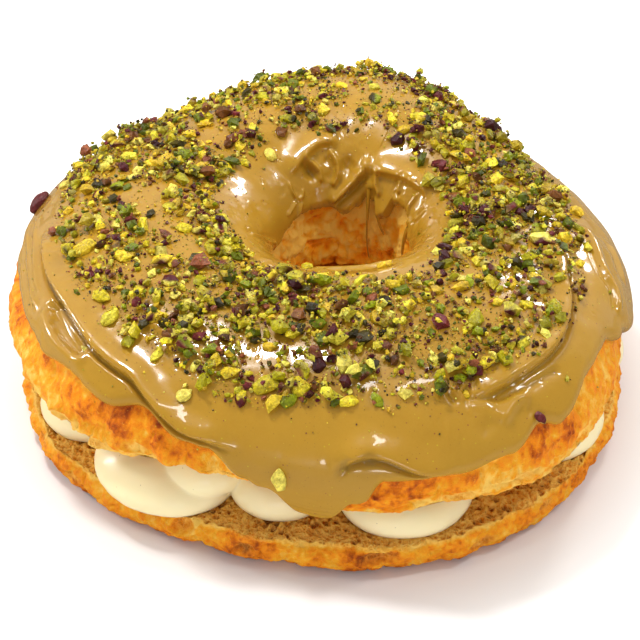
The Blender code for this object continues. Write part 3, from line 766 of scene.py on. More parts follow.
def make_lower_bread():
    theta = round_angles(BREAD_STEPS)
    profile = np.array(LOWER_PROFILE, float) * MM
    heights = np.concatenate([np.linspace(0, 2.2, 5)[:-1], np.linspace(2.2, 17, 27)]) * MM
    insets = np.interp(heights, profile[:, 1], profile[:, 0])
    insets = np.convolve(np.pad(insets, 2, mode="edge"), np.ones(5) / 5, mode="valid")
    insets[0] = profile[0, 0]
    side = np.array([ring(theta, 1.0, LOWER_OUTLINE + inset, height)
                     for inset, height in zip(insets, heights)])
    rim = side[-1, :, :2].copy()
    around = np.broadcast_to(theta, side.shape[:2])
    high = side[..., 2] / LOWER_CUT
    torn = noises(side, -0.5, (0.9, 7, 43), (0.7, 2.8, 44))
    fade = smooth_step(side[..., 2] / (1.5 * MM))
    side, relief = cragged(around, side, fade, seed=30)
    side[..., 2] += torn * MM * smooth_step((high - 0.75) / 0.25)
    pockets, inside = pocket_relief(around, side[..., 2], LOWER_POCKETS)
    side += outward(around) * ((pockets + eased(LOWER_SWELL, around) * MM) * fade)[..., None]
    side[..., 2] = np.maximum(side[..., 2], 0)
    brown = noises(side, 0.50, (0.16, 18, 53), (0.22, 6, 54), (0.20, 2.4, 56), (0.16, 1.2, 58))
    brown += 0.10 * relief / MM + 0.08 * inside - 0.35 * smooth_step((high - 0.8) / 0.2)
    brown += 0.45 * smooth_step(1 - high / 0.35)
    open_crumb = np.clip(0.8 * inside + 0.9 * smooth_step((high - 0.88) / 0.12), 0, 1)
    side_tint = np.stack([brown, open_crumb, np.full_like(brown, 0.25)], -1)

    def cut_ring(share, outline):
        drop = np.interp(share, *LEDGE_DROP) * MM
        return ring(theta, share, outline, LOWER_CUT - drop)

    shares = np.linspace(1, 0.74, 56)[1:]
    ledge = np.array([cut_ring(share, LOWER_OUTLINE + insets[-1]) for share in shares])
    # the ledge's outer part follows the crags of the side
    carried = np.clip((shares - 0.9) / 0.1, 0, 1)
    ledge[..., :2] += (side[-1, :, :2] - rim) * carried[:, None, None]
    deep = crumb_relief(ledge)
    ledge[..., 2] += noises(ledge, 0, (0.45, 4, 45), (0.3, 1.8, 46)) * MM - deep
    ledge[..., 2] = np.minimum(ledge[..., 2], LOWER_CUT + 0.2 * MM)
    # Painted shade: the crumb is painted browner, so darker, the deeper it lies in a pore.
    ledge_tint_with_painted_shade = np.stack([0.36 * deep / MM, np.ones_like(deep), np.zeros_like(deep)], -1)

    # Painted shade: the cut face round the hole and the hole's lower part are painted dark brown,
    # which carries the painted shade at the bottom of the hole on down.
    inner = [cut_ring(share, LOWER_OUTLINE) for share in (0.5, 0.25, 0.0)]
    inner += [ring(theta, 0.0, LOWER_OUTLINE, height * MM, radius * MM)
              for radius, height in LOWER_HOLE]
    return bread_ring("lower_bread", (
        (side, side_tint), (ledge, ledge_tint_with_painted_shade), (np.array(inner), (0.8, 0, 0.6))))


# ---------------------------------------------------------------------------------------------
# Cream


def dollops():
    """Every dollop as (angle, reach, half width, centre height), the hidden ones evenly spaced."""
    draw = random.Random(NUT_SEED)
    placed = [(a, r * MM, w, h * MM) for a, r, w, h in FRONT_DOLLOPS]
    for k in range(HIDDEN_DOLLOPS + 1):
        angle = HIDDEN_FIRST + (HIDDEN_LAST - HIDDEN_FIRST) * k / HIDDEN_DOLLOPS
        angle += draw.uniform(-2, 2)
        outline = float(ring_curve(LOWER_OUTLINE, np.radians([angle]))[0])
        reach = outline - draw.uniform(1, 7) * MM
        placed.append((angle % 360, reach, draw.uniform(11, 14), draw.uniform(22, 27) * MM))
    return placed


def cream_reach(theta, height):
    """How far the cream comes out at an angle and height: the furthest of the dollops there."""
    core = across(theta, np.full_like(theta, CREAM_CORE), LOWER_OUTLINE)
    reach = np.linalg.norm(core - MIDDLE, axis=-1)
    for angle, furthest, half_width, centre in dollops():
        away = degrees_from(theta, angle)
        rest = 1 - (away / half_width) ** 2 - ((height - centre) / DOLLOP_HEIGHT) ** 2
        bulge = furthest - DOLLOP_DEPTH + DOLLOP_DEPTH * np.sqrt(np.clip(rest, 0, 1))
        reach = np.maximum(reach, np.where(rest > 0, bulge, 0))
    return reach


def make_cream():
    theta = round_angles(CREAM_STEPS)
    heading = outward(theta)[:, :2]
    floor = LOWER_CUT - 0.6 * MM
    ceiling = underside_height(theta, 1.0) - 0.1 * MM
    cut = across(theta, np.full_like(theta, 0.9), UPPER_OUTLINE)
    cap = np.linalg.norm(cut - MIDDLE, axis=-1) - 1 * MM
    rows = []
    for share in np.linspace(0, 1, CREAM_ROWS):
        height = floor + (ceiling - floor) * share
        reach = cream_reach(theta, height)
        over = np.clip((share - 0.8) / 0.2, 0, 1)
        reach = reach - (reach - np.minimum(reach, cap)) * over
        rows.append(np.column_stack([MIDDLE + heading * reach[:, None], height]))
    rows = np.array(rows)
    soft = noises(rows, 0, (0.55, 13, 81), (0.20, 5, 82))
    rows += outward(theta)[None] * (soft * MM)[..., None]
    inner = [ring(theta, share, UPPER_OUTLINE, underside_height(theta, share) - CEILING_GAP)
             for share in (0.6, 0.28, 0.1)]
    rows = np.concatenate([rows, inner, [ring(theta, 0.1, UPPER_OUTLINE, floor)]])
    faces = ring_faces(*rows.shape[:2])
    return mesh_object("piped_cream", rows.reshape(-1, 3), faces, cream_material())


# ---------------------------------------------------------------------------------------------
# Chopped pistachios


def nut_band(theta, turn):
    """How thickly the nuts lie: a band over the crest, bare near the hole's back and the rim."""
    at = np.degrees(turn)
    past_outer = (at - eased(NUT_OUTER_EDGE, theta)) / NUT_OUTER_SOFT
    past_inner = (eased(NUT_INNER_EDGE, theta) - at) / NUT_INNER_SOFT
    return np.clip(np.minimum(past_outer, past_inner) + 0.5, 0, 1)


def nut_places():
    """(angle, turn, length, way it lies), the long kernels first and then ever smaller pieces,
    each clear of those before it."""
    draw = random.Random(NUT_SEED)
    placed = []
    points = []

    def point_at(angle, turn):
        return bread_dome(np.array([angle]), np.array([turn]))[0]

    for angle, turn, length, lies in KERNELS:
        placed.append((math.radians(angle), math.radians(turn), length * MM, math.radians(lies)))
        points.append(point_at(*placed[-1][:2]))
    while len(placed) < NUT_COUNT:
        rank = len(placed) - len(KERNELS)
        length = LONGEST_NUT * (1 + rank / NUT_HALVING) ** -0.5 * draw.uniform(0.85, 1.15)
        for _ in range(400):
            angle = draw.uniform(0, FULL_TURN)
            turn = draw.uniform(math.radians(25), math.radians(130))
            point = point_at(angle, turn)
            outer = np.linalg.norm(point[:2] - HOLE_CENTRE) / NUT_FARTHEST
            if draw.random() > nut_band(np.array([angle]), np.array([turn]))[0] * outer:
                continue
            apart = [np.linalg.norm(point - other) for other in points]
            lengths = [0.55 * (length + other[2]) for other in placed]
            if all(a > b for a, b in zip(apart, lengths)):
                placed.append((angle, turn, length, draw.uniform(0, FULL_TURN)))
                points.append(point)
                break
        else:
            raise RuntimeError("no room is left for the nuts")
    return placed


CLIMB_FROM = 1.3 * MM  # few pieces lie higher than this, on top of a large one
CLEAR_TOP = 0.4 * MM  # pieces keep this far below the top of the CAD's box
LUMP_KINDS = 12  # different lumps among the pieces of one mesh

# Colours, linear: flesh of a pistachio, and its skin.
FLESH = np.array(((0.96, 0.70, 0.03), (1.0, 0.84, 0.13), (0.52, 0.46, 0.006), (0.17, 0.21, 0.002),
                  (0.74, 0.60, 0.015), (0.98, 0.64, 0.02), (0.33, 0.38, 0.004), (0.88, 0.76, 0.05)))
SKIN = np.array(((0.10, 0.008, 0.014), (0.18, 0.022, 0.026), (0.065, 0.048, 0.003),
                 (0.22, 0.075, 0.012), (0.34, 0.10, 0.04)))
SKINNED = 0.4  # share of the small pieces of flesh with skin on one side
FLESH_SHARES = (0.22, 0.26, 0.10, 0.07, 0.11, 0.08, 0.07, 0.09)  # among the large pieces
SKIN_COVERS = (0.0, 0.12, 0.3, 0.5, 0.75)  # how much skin a large piece has, and how often
COVER_SHARES = (0.3, 0.2, 0.2, 0.2, 0.1)
WHOLE_SKIN = 1.2  # the first kernel, at the far left, is skin all round

# Name, count, seed, sizes in mm, how many stray, corners, share that is skin, share that may lie
# on a large piece, and cuts that make the lumps finer.
SMALL_NUTS = (
    ("nuts_medium", 1950, 14, (3.4, 10.2), 0.008, 9, 0.22, 0.38, 1),
    ("nuts_small", 9000, 15, (1.1, 3.9), 0.020, 8, 0.38, 0.20, 0),
    ("nuts_fine", 22000, 16, (0.4, 1.3), 0.06, 6, 0.42, 0.35, 0),
)


class Heap:
    """The height of the nuts laid so far, over a grid seen from above."""

    def __init__(self, half_size=165 * MM, cell=0.5 * MM):
        self.cell = cell
        self.half = half_size
        count = int(2 * half_size / cell)
        self.height = np.zeros((count, count))

    def window(self, spot, radius):
        low = np.floor((np.asarray(spot) - radius + self.half) / self.cell).astype(int)
        high = np.ceil((np.asarray(spot) + radius + self.half) / self.cell).astype(int) + 1
        return slice(low[0], high[0]), slice(low[1], high[1])

    def under(self, spot, radius):
        """Height at which a piece of that radius would come to lie."""
        heights = self.height[self.window(spot, 0.55 * radius)]
        return float(np.mean(heights)) if heights.size else 0.0

    def lay(self, spot, radius, top):
        """Lays a piece, which then carries later ones."""
        over = self.height[self.window(spot, 0.75 * radius)]
        np.maximum(over, top, out=over)


def convex_lump(draw, corners, wide, high, cuts=0, smooth=0.0):
    """Points and triangles of a random convex lump of about unit radius."""
    bm = bmesh.new()
    spin = draw.uniform(0, FULL_TURN)
    for k in range(corners):
        height = 1 - (2 * k + 1) / corners
        radius = math.sqrt(1 - height * height) * draw.uniform(*wide)
        around = spin + k * NUT_TWIST
        bm.verts.new((radius * math.cos(around), radius * math.sin(around),
                      height * draw.uniform(*high)))
    hull = bmesh.ops.convex_hull(bm, input=bm.verts)
    bmesh.ops.delete(bm, geom=[g for g in hull["geom_interior"] if g.is_valid], context="VERTS")
    bmesh.ops.triangulate(bm, faces=bm.faces)
    bmesh.ops.recalc_face_normals(bm, faces=bm.faces)
    if cuts:
        bmesh.ops.subdivide_edges(bm, edges=bm.edges, cuts=cuts, use_grid_fill=True, smooth=smooth)
        bmesh.ops.triangulate(bm, faces=bm.faces)
    bm.verts.ensure_lookup_table()
    points = np.array([vert.co for vert in bm.verts])
    faces = np.array([[vert.index for vert in face.verts] for face in bm.faces])
    bm.free()
    return points, faces


def hull_template(corners, seed, refine=0):
    """The lump of a small piece."""
    points, faces = convex_lump(random.Random(seed), corners, (0.8, 1.15), (0.75, 1.1), refine)
    if refine:
        points = points * (1 + 0.16 * lattice_noise(points + seed, 0.5, 97))[:, None]
    return points, faces


def nut_shape(index):
    """The CAD's own lump for this nut, made finer, and its three sizes on a unit ball."""
    draw = random.Random(1000 + index)
    sizes = (1, draw.uniform(0.58, 0.78), draw.uniform(0.42, 0.6))
    return *convex_lump(draw, NUT_CORNERS, (0.85, 1.12), (0.8, 1.1), 3, 0.08), sizes


def tinted(points, draw, skin_cover):
    """Colours of one nut's points: flesh, with skin on the side that it had."""
    flesh = FLESH[draw.choice(len(FLESH), p=FLESH_SHARES)] * draw.uniform(0.85, 1.15)
    skin = SKIN[draw.integers(3)] * draw.uniform(0.7, 1.2)
    way = normalised(draw.normal(size=3))
    patch = lattice_noise(points + draw.uniform(0, 50), 0.7, 91)
    on_skin = smooth_step(((points @ way) + 0.45 * patch - (1 - 2 * skin_cover)) / 0.25)
    fade = 1 + 0.25 * lattice_noise(points + draw.uniform(0, 50), 0.45, 92)
    return (flesh + (skin - flesh) * on_skin[:, None]) * fade[:, None]


def gathered(name, parts, material, smooth=False):
    """One piece from (points, faces, colours) lumps."""
    tint = np.clip(np.concatenate([part[2] for part in parts]), 0, 1)
    return mesh_object(name, *joined(parts), material, tint, smooth)


def make_large_nuts(heap):
    places = nut_places()
    draw = np.random.default_rng(5)
    tops, normals = icing_point(np.array([p[0] for p in places]), np.array([p[1] for p in places]))
    parts = []
    for index, (_, _, length, lies) in enumerate(places):
        lump, faces, sizes = nut_shape(index)
        if index < len(KERNELS):
            rounder = 0.8 if index == 0 else 0.35
            lump = lump / np.linalg.norm(lump, axis=-1, keepdims=True) ** rounder
        half = length / 2
        up = normals[index]
        side = normalised(np.cross(up, [math.cos(lies), math.sin(lies), 0.15]))
        axes = np.array([np.cross(side, up) * sizes[0], side * sizes[1], up * sizes[2]]) * half
        rough = 1 + 0.12 * lattice_noise(lump + index, 0.7, 93)
        rough += 0.08 * lattice_noise(lump + index, 0.3, 94)
        centre = tops[index] + up * sizes[2] * half * NUT_RISE
        heap.lay(tops[index][:2], half * sizes[1], sizes[2] * half * 1.1)
        cover = draw.choice(SKIN_COVERS, p=COVER_SHARES)
        if index == 0:
            cover = WHOLE_SKIN
        body = (lump * rough[:, None]) @ axes
        parts.append((centre + body, faces, tinted(lump, draw, cover)))
    return gathered("nuts_large", parts, nut_material())


def scattered(count, seed, spread):
    """Angles and turns for many pieces: mostly in the band, in uneven clusters."""
    draw = np.random.default_rng(seed)
    found = [np.zeros((0, 2))]
    while sum(map(len, found)) < count:
        theta = draw.uniform(0, FULL_TURN, 20000)
        turn = np.radians(draw.uniform(5, 150, 20000))
        points = bread_dome(theta, turn)
        outer = np.linalg.norm(points[:, :2] - HOLE_CENTRE, axis=-1) / (150 * MM)
        clump = noises(points, 0.68, (0.85, 16, 95), (0.5, 7, 96))
        at = np.degrees(turn)
        past = np.maximum(eased(NUT_OUTER_EDGE, theta) - at, at - eased(NUT_INNER_EDGE, theta))
        weight = nut_band(theta, turn) * np.clip(clump, 0.05, 1.3)
        weight += spread * np.exp(-np.maximum(past, 0) / 9)
        keep = draw.uniform(0, 1.2, len(theta)) < weight * outer
        found.append(np.column_stack([theta, turn])[keep])
    return np.concatenate(found)[:count], draw


def make_small_nuts(heap, name, count, seed, sizes, spread, corners, skins, climb, refine):
    """Many small pieces from a few random lumps, each turned, stretched and coloured alone."""
    places, draw = scattered(count, seed, spread)
    tops, normals = icing_point(places[:, 0], places[:, 1])
    lumps = [hull_template(corners, seed * 100 + k, refine) for k in range(LUMP_KINDS)]
    parts = []
    ceiling = CAD_TOP - CLEAR_TOP
    for top, normal in zip(tops, normals):
        lump, faces = lumps[draw.integers(len(lumps))]
        half = 0.5 * MM * (sizes[0] + (sizes[1] - sizes[0]) * draw.random() ** 2.2)
        stretch = np.array([1, draw.uniform(0.5, 0.9), draw.uniform(0.4, 0.85)]) * half
        side = normalised(np.cross(normal, draw.normal(size=3)))
        up = normalised(normal + draw.normal(size=3) * 0.25)
        ahead = normalised(np.cross(side, up))
        rests = heap.under(top[:2], half * 0.8)
        if rests > CLIMB_FROM and draw.random() > climb:
            continue
        heap.lay(top[:2], half * 0.8, rests + stretch[2] * 1.3)
        centre = top + normal * (rests + 0.55 * stretch[2])
        if centre[2] + half > ceiling:
            centre = top + normal * 0.3 * stretch[2]
            if centre[2] + half > ceiling:
                continue
        body = (lump * stretch) @ np.array([ahead, np.cross(up, ahead), up])
        is_skin = draw.random() < skins
        colours = SKIN if is_skin else FLESH
        colour = colours[draw.integers(len(colours))] * draw.uniform(0.45, 1.15)
        tint = colour * (1 + 0.35 * (lump @ draw.normal(size=3)) / 2)[:, None]
        if not is_skin and draw.random() < SKINNED:
            way = normalised(draw.normal(size=3))
            on_skin = smooth_step((lump @ way) * 3 - 1)[:, None]
            tint = tint + (SKIN[draw.integers(3)] - tint) * on_skin
        parts.append((centre + body, faces, tint))
    return gathered(name, parts, nut_material())


# ---------------------------------------------------------------------------------------------
# Crumbs

CRUMB_COUNT = 420
CRUMB_COLOUR = np.array((0.72, 0.33, 0.06))


def make_crumbs():
    """Loose crumbs on the cut ledge of the lower half."""
    draw = np.random.default_rng(12)
    lumps = [hull_template(8, 900 + k) for k in range(8)]
    parts = []
    for _ in range(CRUMB_COUNT):
        theta = np.array([draw.uniform(0, FULL_TURN)])
        share = np.array([draw.uniform(0.93, 0.985)])
        flat = across(theta, share, LOWER_OUTLINE - 3.5 * MM)[0]
        half = MM * (0.3 + 0.7 * draw.random() ** 3)
        lump, faces = lumps[draw.integers(len(lumps))]
        centre = np.array([*flat, LOWER_CUT - 0.9 * MM + 0.3 * half])
        body = lump * half * draw.uniform(0.6, 1, 3)
        tint = np.broadcast_to(CRUMB_COLOUR * draw.uniform(0.6, 1.2), lump.shape)
        parts.append((centre + body, faces, tint))
    return gathered("crumbs", parts, crumb_material(), smooth=True)


# ---------------------------------------------------------------------------------------------
# Materials


def feed(tree, socket, value):
    """Links an output to a socket, or sets the socket to a value."""
    if isinstance(value, bpy.types.NodeSocket):
        tree.links.new(value, socket)
    else:
        socket.default_value = value


def add(tree, kind, settings=None, **inputs):
    """A node with its settings and inputs. An underscore stands for a space in an input's name."""
    made = tree.nodes.new(kind)
    for name, value in (settings or {}).items():
        setattr(made, name, value)
    for name, value in inputs.items():
        feed(tree, made.inputs[name.replace("_", " ")], value)
    return made


def mix(tree, factor, first, second, blend="MIX"):
    """A mix of two colours, each an output or a red, green and blue."""
    made = add(tree, "ShaderNodeMix", {"data_type": "RGBA", "blend_type": blend})
    feed(tree, made.inputs[0], factor)
    for socket, colour in ((made.inputs[6], first), (made.inputs[7], second)):
        feed(tree, socket, (*colour, 1) if isinstance(colour, tuple) else colour)
    return made.outputs[2]


def math_node(tree, operation, first, second=0.0):
    made = add(tree, "ShaderNodeMath", {"operation": operation})
    feed(tree, made.inputs[0], first)
    feed(tree, made.inputs[1], second)
    return made.outputs[0]


def times(tree, first, second):
    return math_node(tree, "MULTIPLY", first, second)


def centred(tree, value, by):
    """A noise moved from about a half to about zero, and scaled."""
    return times(tree, math_node(tree, "SUBTRACT", value, 0.5), by)


def vector_node(tree, operation, first, second):
    made = add(tree, "ShaderNodeVectorMath", {"operation": operation})
    feed(tree, made.inputs[0], first)
    feed(tree, made.inputs[1], second)
    return made.outputs[0]


def ramp(tree, factor, stops):
    made = add(tree, "ShaderNodeValToRGB", Fac=factor)
    elements = made.color_ramp.elements
    elements[0].position, elements[1].position = stops[0][0], stops[-1][0]
    elements[0].color, elements[1].color = (*stops[0][1], 1), (*stops[-1][1], 1)
    for at, colour in stops[1:-1]:
        elements.new(at).color = (*colour, 1)
    return made.outputs["Color"]


def noise(tree, where, size, detail=3.0, roughness=0.55):
    made = add(tree, "ShaderNodeTexNoise", Vector=where, Scale=1 / size, Detail=detail,
               Roughness=roughness)
    return made.outputs["Fac"]


def start_material(name, **sockets):
    """A material with its tree, its shader and the object's own coordinates."""
    material = bpy.data.materials.new(name)
    material.use_nodes = True
    tree = material.node_tree
    shader = tree.nodes["Principled BSDF"]
    for socket, value in sockets.items():
        shader.inputs[socket.replace("_", " ")].default_value = value
    where = tree.nodes.new("ShaderNodeTexCoord").outputs["Object"]
    return material, tree, shader, where


def smooth_ramp(tree, value, start, end):
    """0 up to start, 1 from end on, and smooth between."""
    made = add(tree, "ShaderNodeMapRange", {"interpolation_type": "SMOOTHSTEP"}, Value=value)
    made.inputs["From Min"].default_value = start
    made.inputs["From Max"].default_value = end
    return made.outputs["Result"]


def set_bump(tree, shader, height, strength, distance):
    bump = add(tree, "ShaderNodeBump", Height=height, Strength=strength, Distance=distance)
    tree.links.new(bump.outputs[0], shader.inputs["Normal"])


def point_tint(tree):
    """The colour that the mesh gives each of its points."""
    return add(tree, "ShaderNodeAttribute", {"attribute_name": "tint"}).outputs["Color"]


def crumb_threads(tree, where):
    """The fine pale threads between the holes of torn crumb."""
    pushed = add(tree, "ShaderNodeTexNoise", Vector=where, Scale=1 / (3 * MM), Detail=2.0)
    push = add(tree, "ShaderNodeVectorMath", {"operation": "SCALE"}, Vector=pushed.outputs["Color"],
               Scale=2.5 * MM)
    torn = vector_node(tree, "ADD", where, push.outputs[0])
    masks = []
    for size in (3.2 * MM, 1.6 * MM):
        cells = add(tree, "ShaderNodeTexVoronoi", {"feature": "DISTANCE_TO_EDGE"},
                    Vector=torn, Scale=1 / size)
        edge = smooth_ramp(tree, cells.outputs["Distance"], 0.03, 0.20)
        masks.append(math_node(tree, "SUBTRACT", 1.0, edge))
    return math_node(tree, "MAXIMUM", masks[0], times(tree, masks[1], 0.6))


def specked(tree, where, colour, specks):
    """A colour with round specks on it, one at most in each cell, each kind as (cell size,
    radius, strength, colour), with the lengths in mm."""
    for size, radius, strength, tone in specks:
        cells = add(tree, "ShaderNodeTexVoronoi", Vector=where, Scale=1 / (size * MM))
        mask = math_node(tree, "LESS_THAN", cells.outputs["Distance"], radius / size)
        colour = mix(tree, times(tree, mask, strength), colour, tone)
    return colour


@cache
def icing_material():
    material, tree, shader, where = start_material(
        "glossy_icing", Roughness=0.24, Coat_Weight=1.0, Coat_Roughness=0.04, IOR=1.46,
        Subsurface_Weight=0.12, Subsurface_Scale=0.004, Subsurface_Radius=(1.0, 0.55, 0.2))
    wide = noise(tree, where, 40 * MM, 2.0)
    fine = noise(tree, where, 1.1 * MM, 4.0)
    colour = mix(tree, wide, (0.385, 0.190, 0.009), (0.465, 0.252, 0.020))
    colour = mix(tree, 0.12, colour, mix(tree, fine, (0.32, 0.15, 0.008), (0.62, 0.40, 0.07)))
    colour = specked(tree, where, colour, (
        (2.2, 0.20, 0.6, (0.20, 0.08, 0.015)), (4.6, 0.34, 0.7, (0.22, 0.05, 0.025)),
        (3.7, 0.30, 0.7, (0.52, 0.44, 0.02))))
    tree.links.new(colour, shader.inputs["Base Color"])
    set_bump(tree, shader, noise(tree, where, 1.6 * MM, 3.0), 0.05, 0.4 * MM)
    return material


@cache
def bread_material():
    """Crust and crumb. The tint says how brown a point is, how open its crumb is, and how wet. Its
    brown also carries painted shade: down the hole, in the hole's hollows and in the ledge's pores.
    """
    material, tree, shader, where = start_material(
        "baked_bread", Roughness=0.6, IOR=1.36, Subsurface_Weight=0.04, Subsurface_Scale=0.002,
        Specular_IOR_Level=0.3)
    brown, open_crumb, wet = add(tree, "ShaderNodeSeparateColor", Color=point_tint(tree)).outputs
    mottle = noise(tree, where, 3.2 * MM, 6.0, 0.65)
    grain = noise(tree, where, 0.9 * MM, 4.0, 0.7)
    shade = math_node(tree, "ADD", brown, centred(tree, mottle, 0.9))
    crust = ramp(tree, shade, (
        (0.0, (0.95, 0.58, 0.11)), (0.28, (0.90, 0.38, 0.012)), (0.55, (0.88, 0.25, 0.002)),
        (0.8, (0.58, 0.11, 0.001)), (1.0, (0.26, 0.032, 0.001))))
    speckled = smooth_ramp(tree, grain, 0.56, 0.70)
    crust = mix(tree, times(tree, speckled, 0.5), crust, (0.97, 0.52, 0.045))
    scorched = smooth_ramp(tree, math_node(tree, "SUBTRACT", 1.0, grain), 0.58, 0.70)
    crust = mix(tree, times(tree, scorched, 0.45), crust, (0.50, 0.12, 0.004))
    deep = math_node(tree, "ADD", brown, centred(tree, grain, 0.9))
    crumb = ramp(tree, deep, (
        (0.0, (1.0, 0.54, 0.09)), (0.30, (0.84, 0.28, 0.012)), (0.62, (0.44, 0.095, 0.002)),
        (1.0, (0.16, 0.028, 0.001))))
    threads = crumb_threads(tree, where)
    shown = math_node(tree, "SUBTRACT", 0.85, times(tree, brown, 0.6))
    shown = math_node(tree, "MAXIMUM", times(tree, threads, shown), 0.0)
    crumb = mix(tree, shown, crumb, (1.0, 0.60, 0.13))
    colour = mix(tree, open_crumb, crust, crumb)
    wet_colour = ramp(tree, shade, (
        (0.0, (1.0, 0.62, 0.10)), (0.35, (1.0, 0.48, 0.028)), (0.65, (0.95, 0.30, 0.006)),
        (1.0, (0.42, 0.09, 0.002))))
    tree.links.new(mix(tree, wet, colour, wet_colour), shader.inputs["Base Color"])
    rough = math_node(tree, "SUBTRACT", 0.60, times(tree, wet, 0.40))
    rough = math_node(tree, "ADD", rough, times(tree, open_crumb, 0.2))
    rough = math_node(tree, "SUBTRACT", rough, centred(tree, mottle, 0.5))
    tree.links.new(rough, shader.inputs["Roughness"])
    relief = math_node(tree, "ADD", times(tree, mottle, 0.8), times(tree, grain, 0.6))
    crumbly = times(tree, times(tree, threads, open_crumb), 0.5)
    set_bump(tree, shader, math_node(tree, "ADD", relief, crumbly), 0.9, 1.3 * MM)
    return material


def cream_material():
    material, tree, shader, where = start_material(
        "satin_cream", Roughness=0.32, Coat_Weight=0.15, Coat_Roughness=0.15, IOR=1.45,
        Subsurface_Weight=0.2, Subsurface_Scale=0.006, Subsurface_Radius=(1.0, 0.8, 0.45))
    colour = mix(tree, noise(tree, where, 22 * MM, 3.0), (0.93, 0.77, 0.42), (0.97, 0.86, 0.55))
    colour = specked(tree, where, colour, ((5.5, 0.2, 0.7, (0.20, 0.13, 0.06)),))
    tree.links.new(colour, shader.inputs["Base Color"])
    set_bump(tree, shader, noise(tree, where, 2.5 * MM, 2.0), 0.05, 0.4 * MM)
    return material


@cache
def nut_material():
    material, tree, shader, where = start_material(
        "pistachio", Roughness=0.36, IOR=1.45, Specular_IOR_Level=0.36,
        Subsurface_Weight=0.04, Subsurface_Scale=0.001)
    mottle = noise(tree, where, 1.4 * MM, 5.0, 0.7)
    lights = smooth_ramp(tree, mottle, 0.35, 0.65)
    shaded = mix(tree, lights, (0.52, 0.48, 0.36), (1.0, 1.0, 1.0))
    colour = mix(tree, 1.0, point_tint(tree), shaded, "MULTIPLY")
    tree.links.new(colour, shader.inputs["Base Color"])
    set_bump(tree, shader, mottle, 0.6, 0.6 * MM)
    return material


def crumb_material():
    material, tree, shader, where = start_material(
        "crumb_bits", Roughness=0.8, Specular_IOR_Level=0.1)
    pale = times(tree, noise(tree, where, 1 * MM), 0.5)
    tree.links.new(mix(tree, pale, point_tint(tree), (0.85, 0.48, 0.12)),
                   shader.inputs["Base Color"])
    return material


# ---------------------------------------------------------------------------------------------
# Stage

AIM = Vector((9.4 * MM, 9.0 * MM, 0))
CAMERA_TILT = math.radians(40)
CAMERA_AWAY = 0.723
FOCAL_LENGTH = 80.27
SENSOR_WIDTH = 36
IMAGE_SIZE = 640
AIM_PIXEL = (341, 337)
FLOOR_HALF = 4.0
SKY_LOW = 0.60  # strength of the sky at the horizon and overhead
SKY_HIGH = 0.64
GLOW = 0.5  # light of the floor's own, away from the cake, as of a white sweep lit by itself
GLOW_START = 0.155
GLOW_END = 0.27
WHITE_FLOOR = (0.93, 0.925, 0.915)
SHADED_FLOOR = (0.80, 0.775, 0.76)  # painted contact shadow: the floor's colour right next to the cake, most at its near side
MIRRORED_FLOOR = (0.22, 0.16, 0.09)  # what glossy surfaces mirror instead of the white floor
GLOW_UNMIRRORED = 0.85  # share of the floor's glow that they don't mirror
SHADE_MIDDLE = (-0.004, -0.008, 0)
SHADE_START = 0.148
SHADE_END = 0.184
SKY_MIRRORED = 0.10  # what glossy surfaces mirror of the sky in front, and of the one behind
SKY_MIRRORED_BACK = 0.50
LIGHT_TARGET = Vector((0, 0, 0.04))
# Softboxes, all turned to the target: place, size and power.
LIGHTS = (
    ("overhead", (-0.26, 0.14, 0.90), (0.13, 0.15), 5.2),
    ("middle", (0.06, -0.13, 0.94), (0.30, 0.05), 0.6),
    ("back_right", (0.44, 0.62, 0.55), (0.14, 0.26), 2.6),
    ("left", (-0.75, 0.15, 0.38), (0.07, 0.30), 2.4),
    ("right", (0.60, -0.05, 0.80), (0.06, 0.18), 2.0),
    ("front", (-0.10, -0.95, 0.26), (0.34, 0.10), 0.85),
)


def make_camera():
    data = bpy.data.cameras.new("camera")
    data.lens = FOCAL_LENGTH
    data.sensor_width = SENSOR_WIDTH
    data.shift_x = (IMAGE_SIZE / 2 - AIM_PIXEL[0]) / IMAGE_SIZE
    data.shift_y = (AIM_PIXEL[1] - IMAGE_SIZE / 2) / IMAGE_SIZE
    camera = bpy.data.objects.new("camera", data)
    back = Vector((0, -math.cos(CAMERA_TILT), math.sin(CAMERA_TILT)))
    camera.location = AIM + back * CAMERA_AWAY
    camera.rotation_mode = "QUATERNION"
    camera.rotation_quaternion = (-back).to_track_quat("-Z", "Y")
    bpy.context.scene.collection.objects.link(camera)
    bpy.context.scene.camera = camera


def make_light(name, location, size, power):
    data = bpy.data.lights.new(name, "AREA")
    data.shape = "RECTANGLE"
    data.size, data.size_y = size
    data.energy = power
    light = bpy.data.objects.new(name, data)
    light.location = location
    light.rotation_mode = "QUATERNION"
    light.rotation_quaternion = (LIGHT_TARGET - light.location).to_track_quat("-Z", "Y")
    bpy.context.scene.collection.objects.link(light)


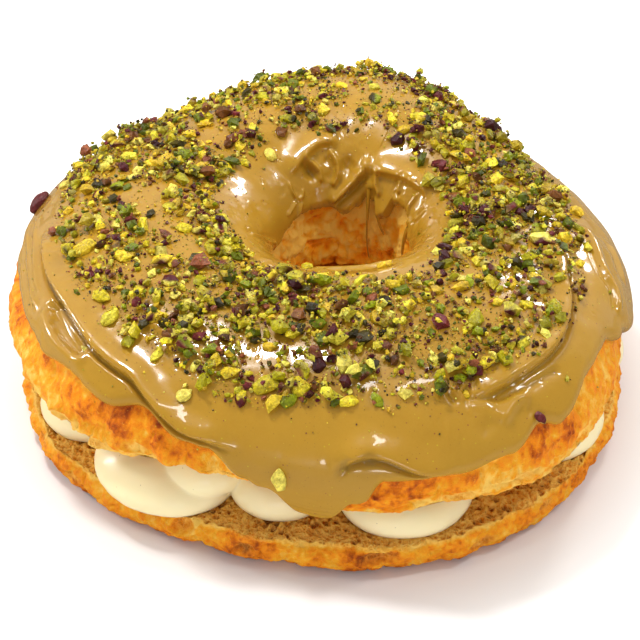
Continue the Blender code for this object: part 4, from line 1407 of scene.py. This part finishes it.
def make_floor():
    corners = FLOOR_HALF * np.array([(-1, -1, 0), (1, -1, 0), (1, 1, 0), (-1, 1, 0)])
    material, tree, shader, where = start_material(
        "floor", Roughness=0.9, Specular_IOR_Level=0.1, Emission_Color=(1, 1, 1, 1))
    mirrored = tree.nodes.new("ShaderNodeLightPath").outputs["Is Glossy Ray"]
    away = add(tree, "ShaderNodeVectorMath", {"operation": "LENGTH"}, Vector=where)
    near = add(tree, "ShaderNodeVectorMath", {"operation": "LENGTH"},
               Vector=vector_node(tree, "SUBTRACT", where, SHADE_MIDDLE))
    # Painted shadow: round the cake the floor's colour darkens from WHITE_FLOOR to SHADED_FLOOR, a
    # contact shadow painted on the floor.
    clear = smooth_ramp(tree, near.outputs["Value"], SHADE_START, SHADE_END)
    white = mix(tree, clear, SHADED_FLOOR, WHITE_FLOOR)
    tree.links.new(mix(tree, mirrored, white, MIRRORED_FLOOR), shader.inputs["Base Color"])
    glow = times(tree, smooth_ramp(tree, away.outputs["Value"], GLOW_START, GLOW_END), GLOW)
    seen = math_node(tree, "SUBTRACT", 1.0, times(tree, mirrored, GLOW_UNMIRRORED))
    tree.links.new(times(tree, glow, seen), shader.inputs["Emission Strength"])
    floor = mesh_object("floor", corners, np.array([[0, 1, 2, 3]]), material)


def make_world():
    """A sky that is nearly even, of which glossy surfaces mirror less, most of it from behind."""
    world = bpy.data.worlds.new("studio")
    world.use_nodes = True
    tree = world.node_tree
    way = add(tree, "ShaderNodeSeparateXYZ",
              Vector=tree.nodes.new("ShaderNodeTexCoord").outputs["Generated"]).outputs
    higher = times(tree, math_node(tree, "MAXIMUM", way["Z"], 0.0), SKY_HIGH - SKY_LOW)
    sky = math_node(tree, "ADD", SKY_LOW, higher)
    mirrored = tree.nodes.new("ShaderNodeLightPath").outputs["Is Glossy Ray"]
    behind = smooth_ramp(tree, way["Y"], 0.0, 0.75)
    seen = math_node(tree, "ADD", SKY_MIRRORED,
                     times(tree, behind, SKY_MIRRORED_BACK - SKY_MIRRORED))
    direct = math_node(tree, "SUBTRACT", 1.0, mirrored)
    strength = math_node(tree, "ADD", times(tree, sky, direct), times(tree, seen, mirrored))
    tree.links.new(strength, tree.nodes["Background"].inputs["Strength"])
    tree.nodes["Background"].inputs["Color"].default_value = (1, 1, 1, 1)
    bpy.context.scene.world = world


def make_stage():
    make_floor()
    make_world()
    for light in LIGHTS:
        make_light(*light)
    bpy.context.scene.view_settings.view_transform = "Standard"


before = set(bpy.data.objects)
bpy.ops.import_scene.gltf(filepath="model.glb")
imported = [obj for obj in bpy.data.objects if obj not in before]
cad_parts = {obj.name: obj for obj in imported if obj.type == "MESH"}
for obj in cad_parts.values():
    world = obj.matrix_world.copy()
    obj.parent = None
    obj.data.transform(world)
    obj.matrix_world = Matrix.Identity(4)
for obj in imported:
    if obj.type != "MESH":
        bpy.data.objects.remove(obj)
cad_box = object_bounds()
CAD_TOP = cad_box[1].z
place(make_lower_bread(), "bottom_half")
place(make_cream(), "cream_filling")
place(make_upper_bread(), "top_half")
place(make_icing(), "icing")
place(make_strings())
heap = Heap()
place(make_large_nuts(heap))
for kind in SMALL_NUTS:
    place(make_small_nuts(heap, *kind))
place(make_crumbs())
make_camera()
make_stage()
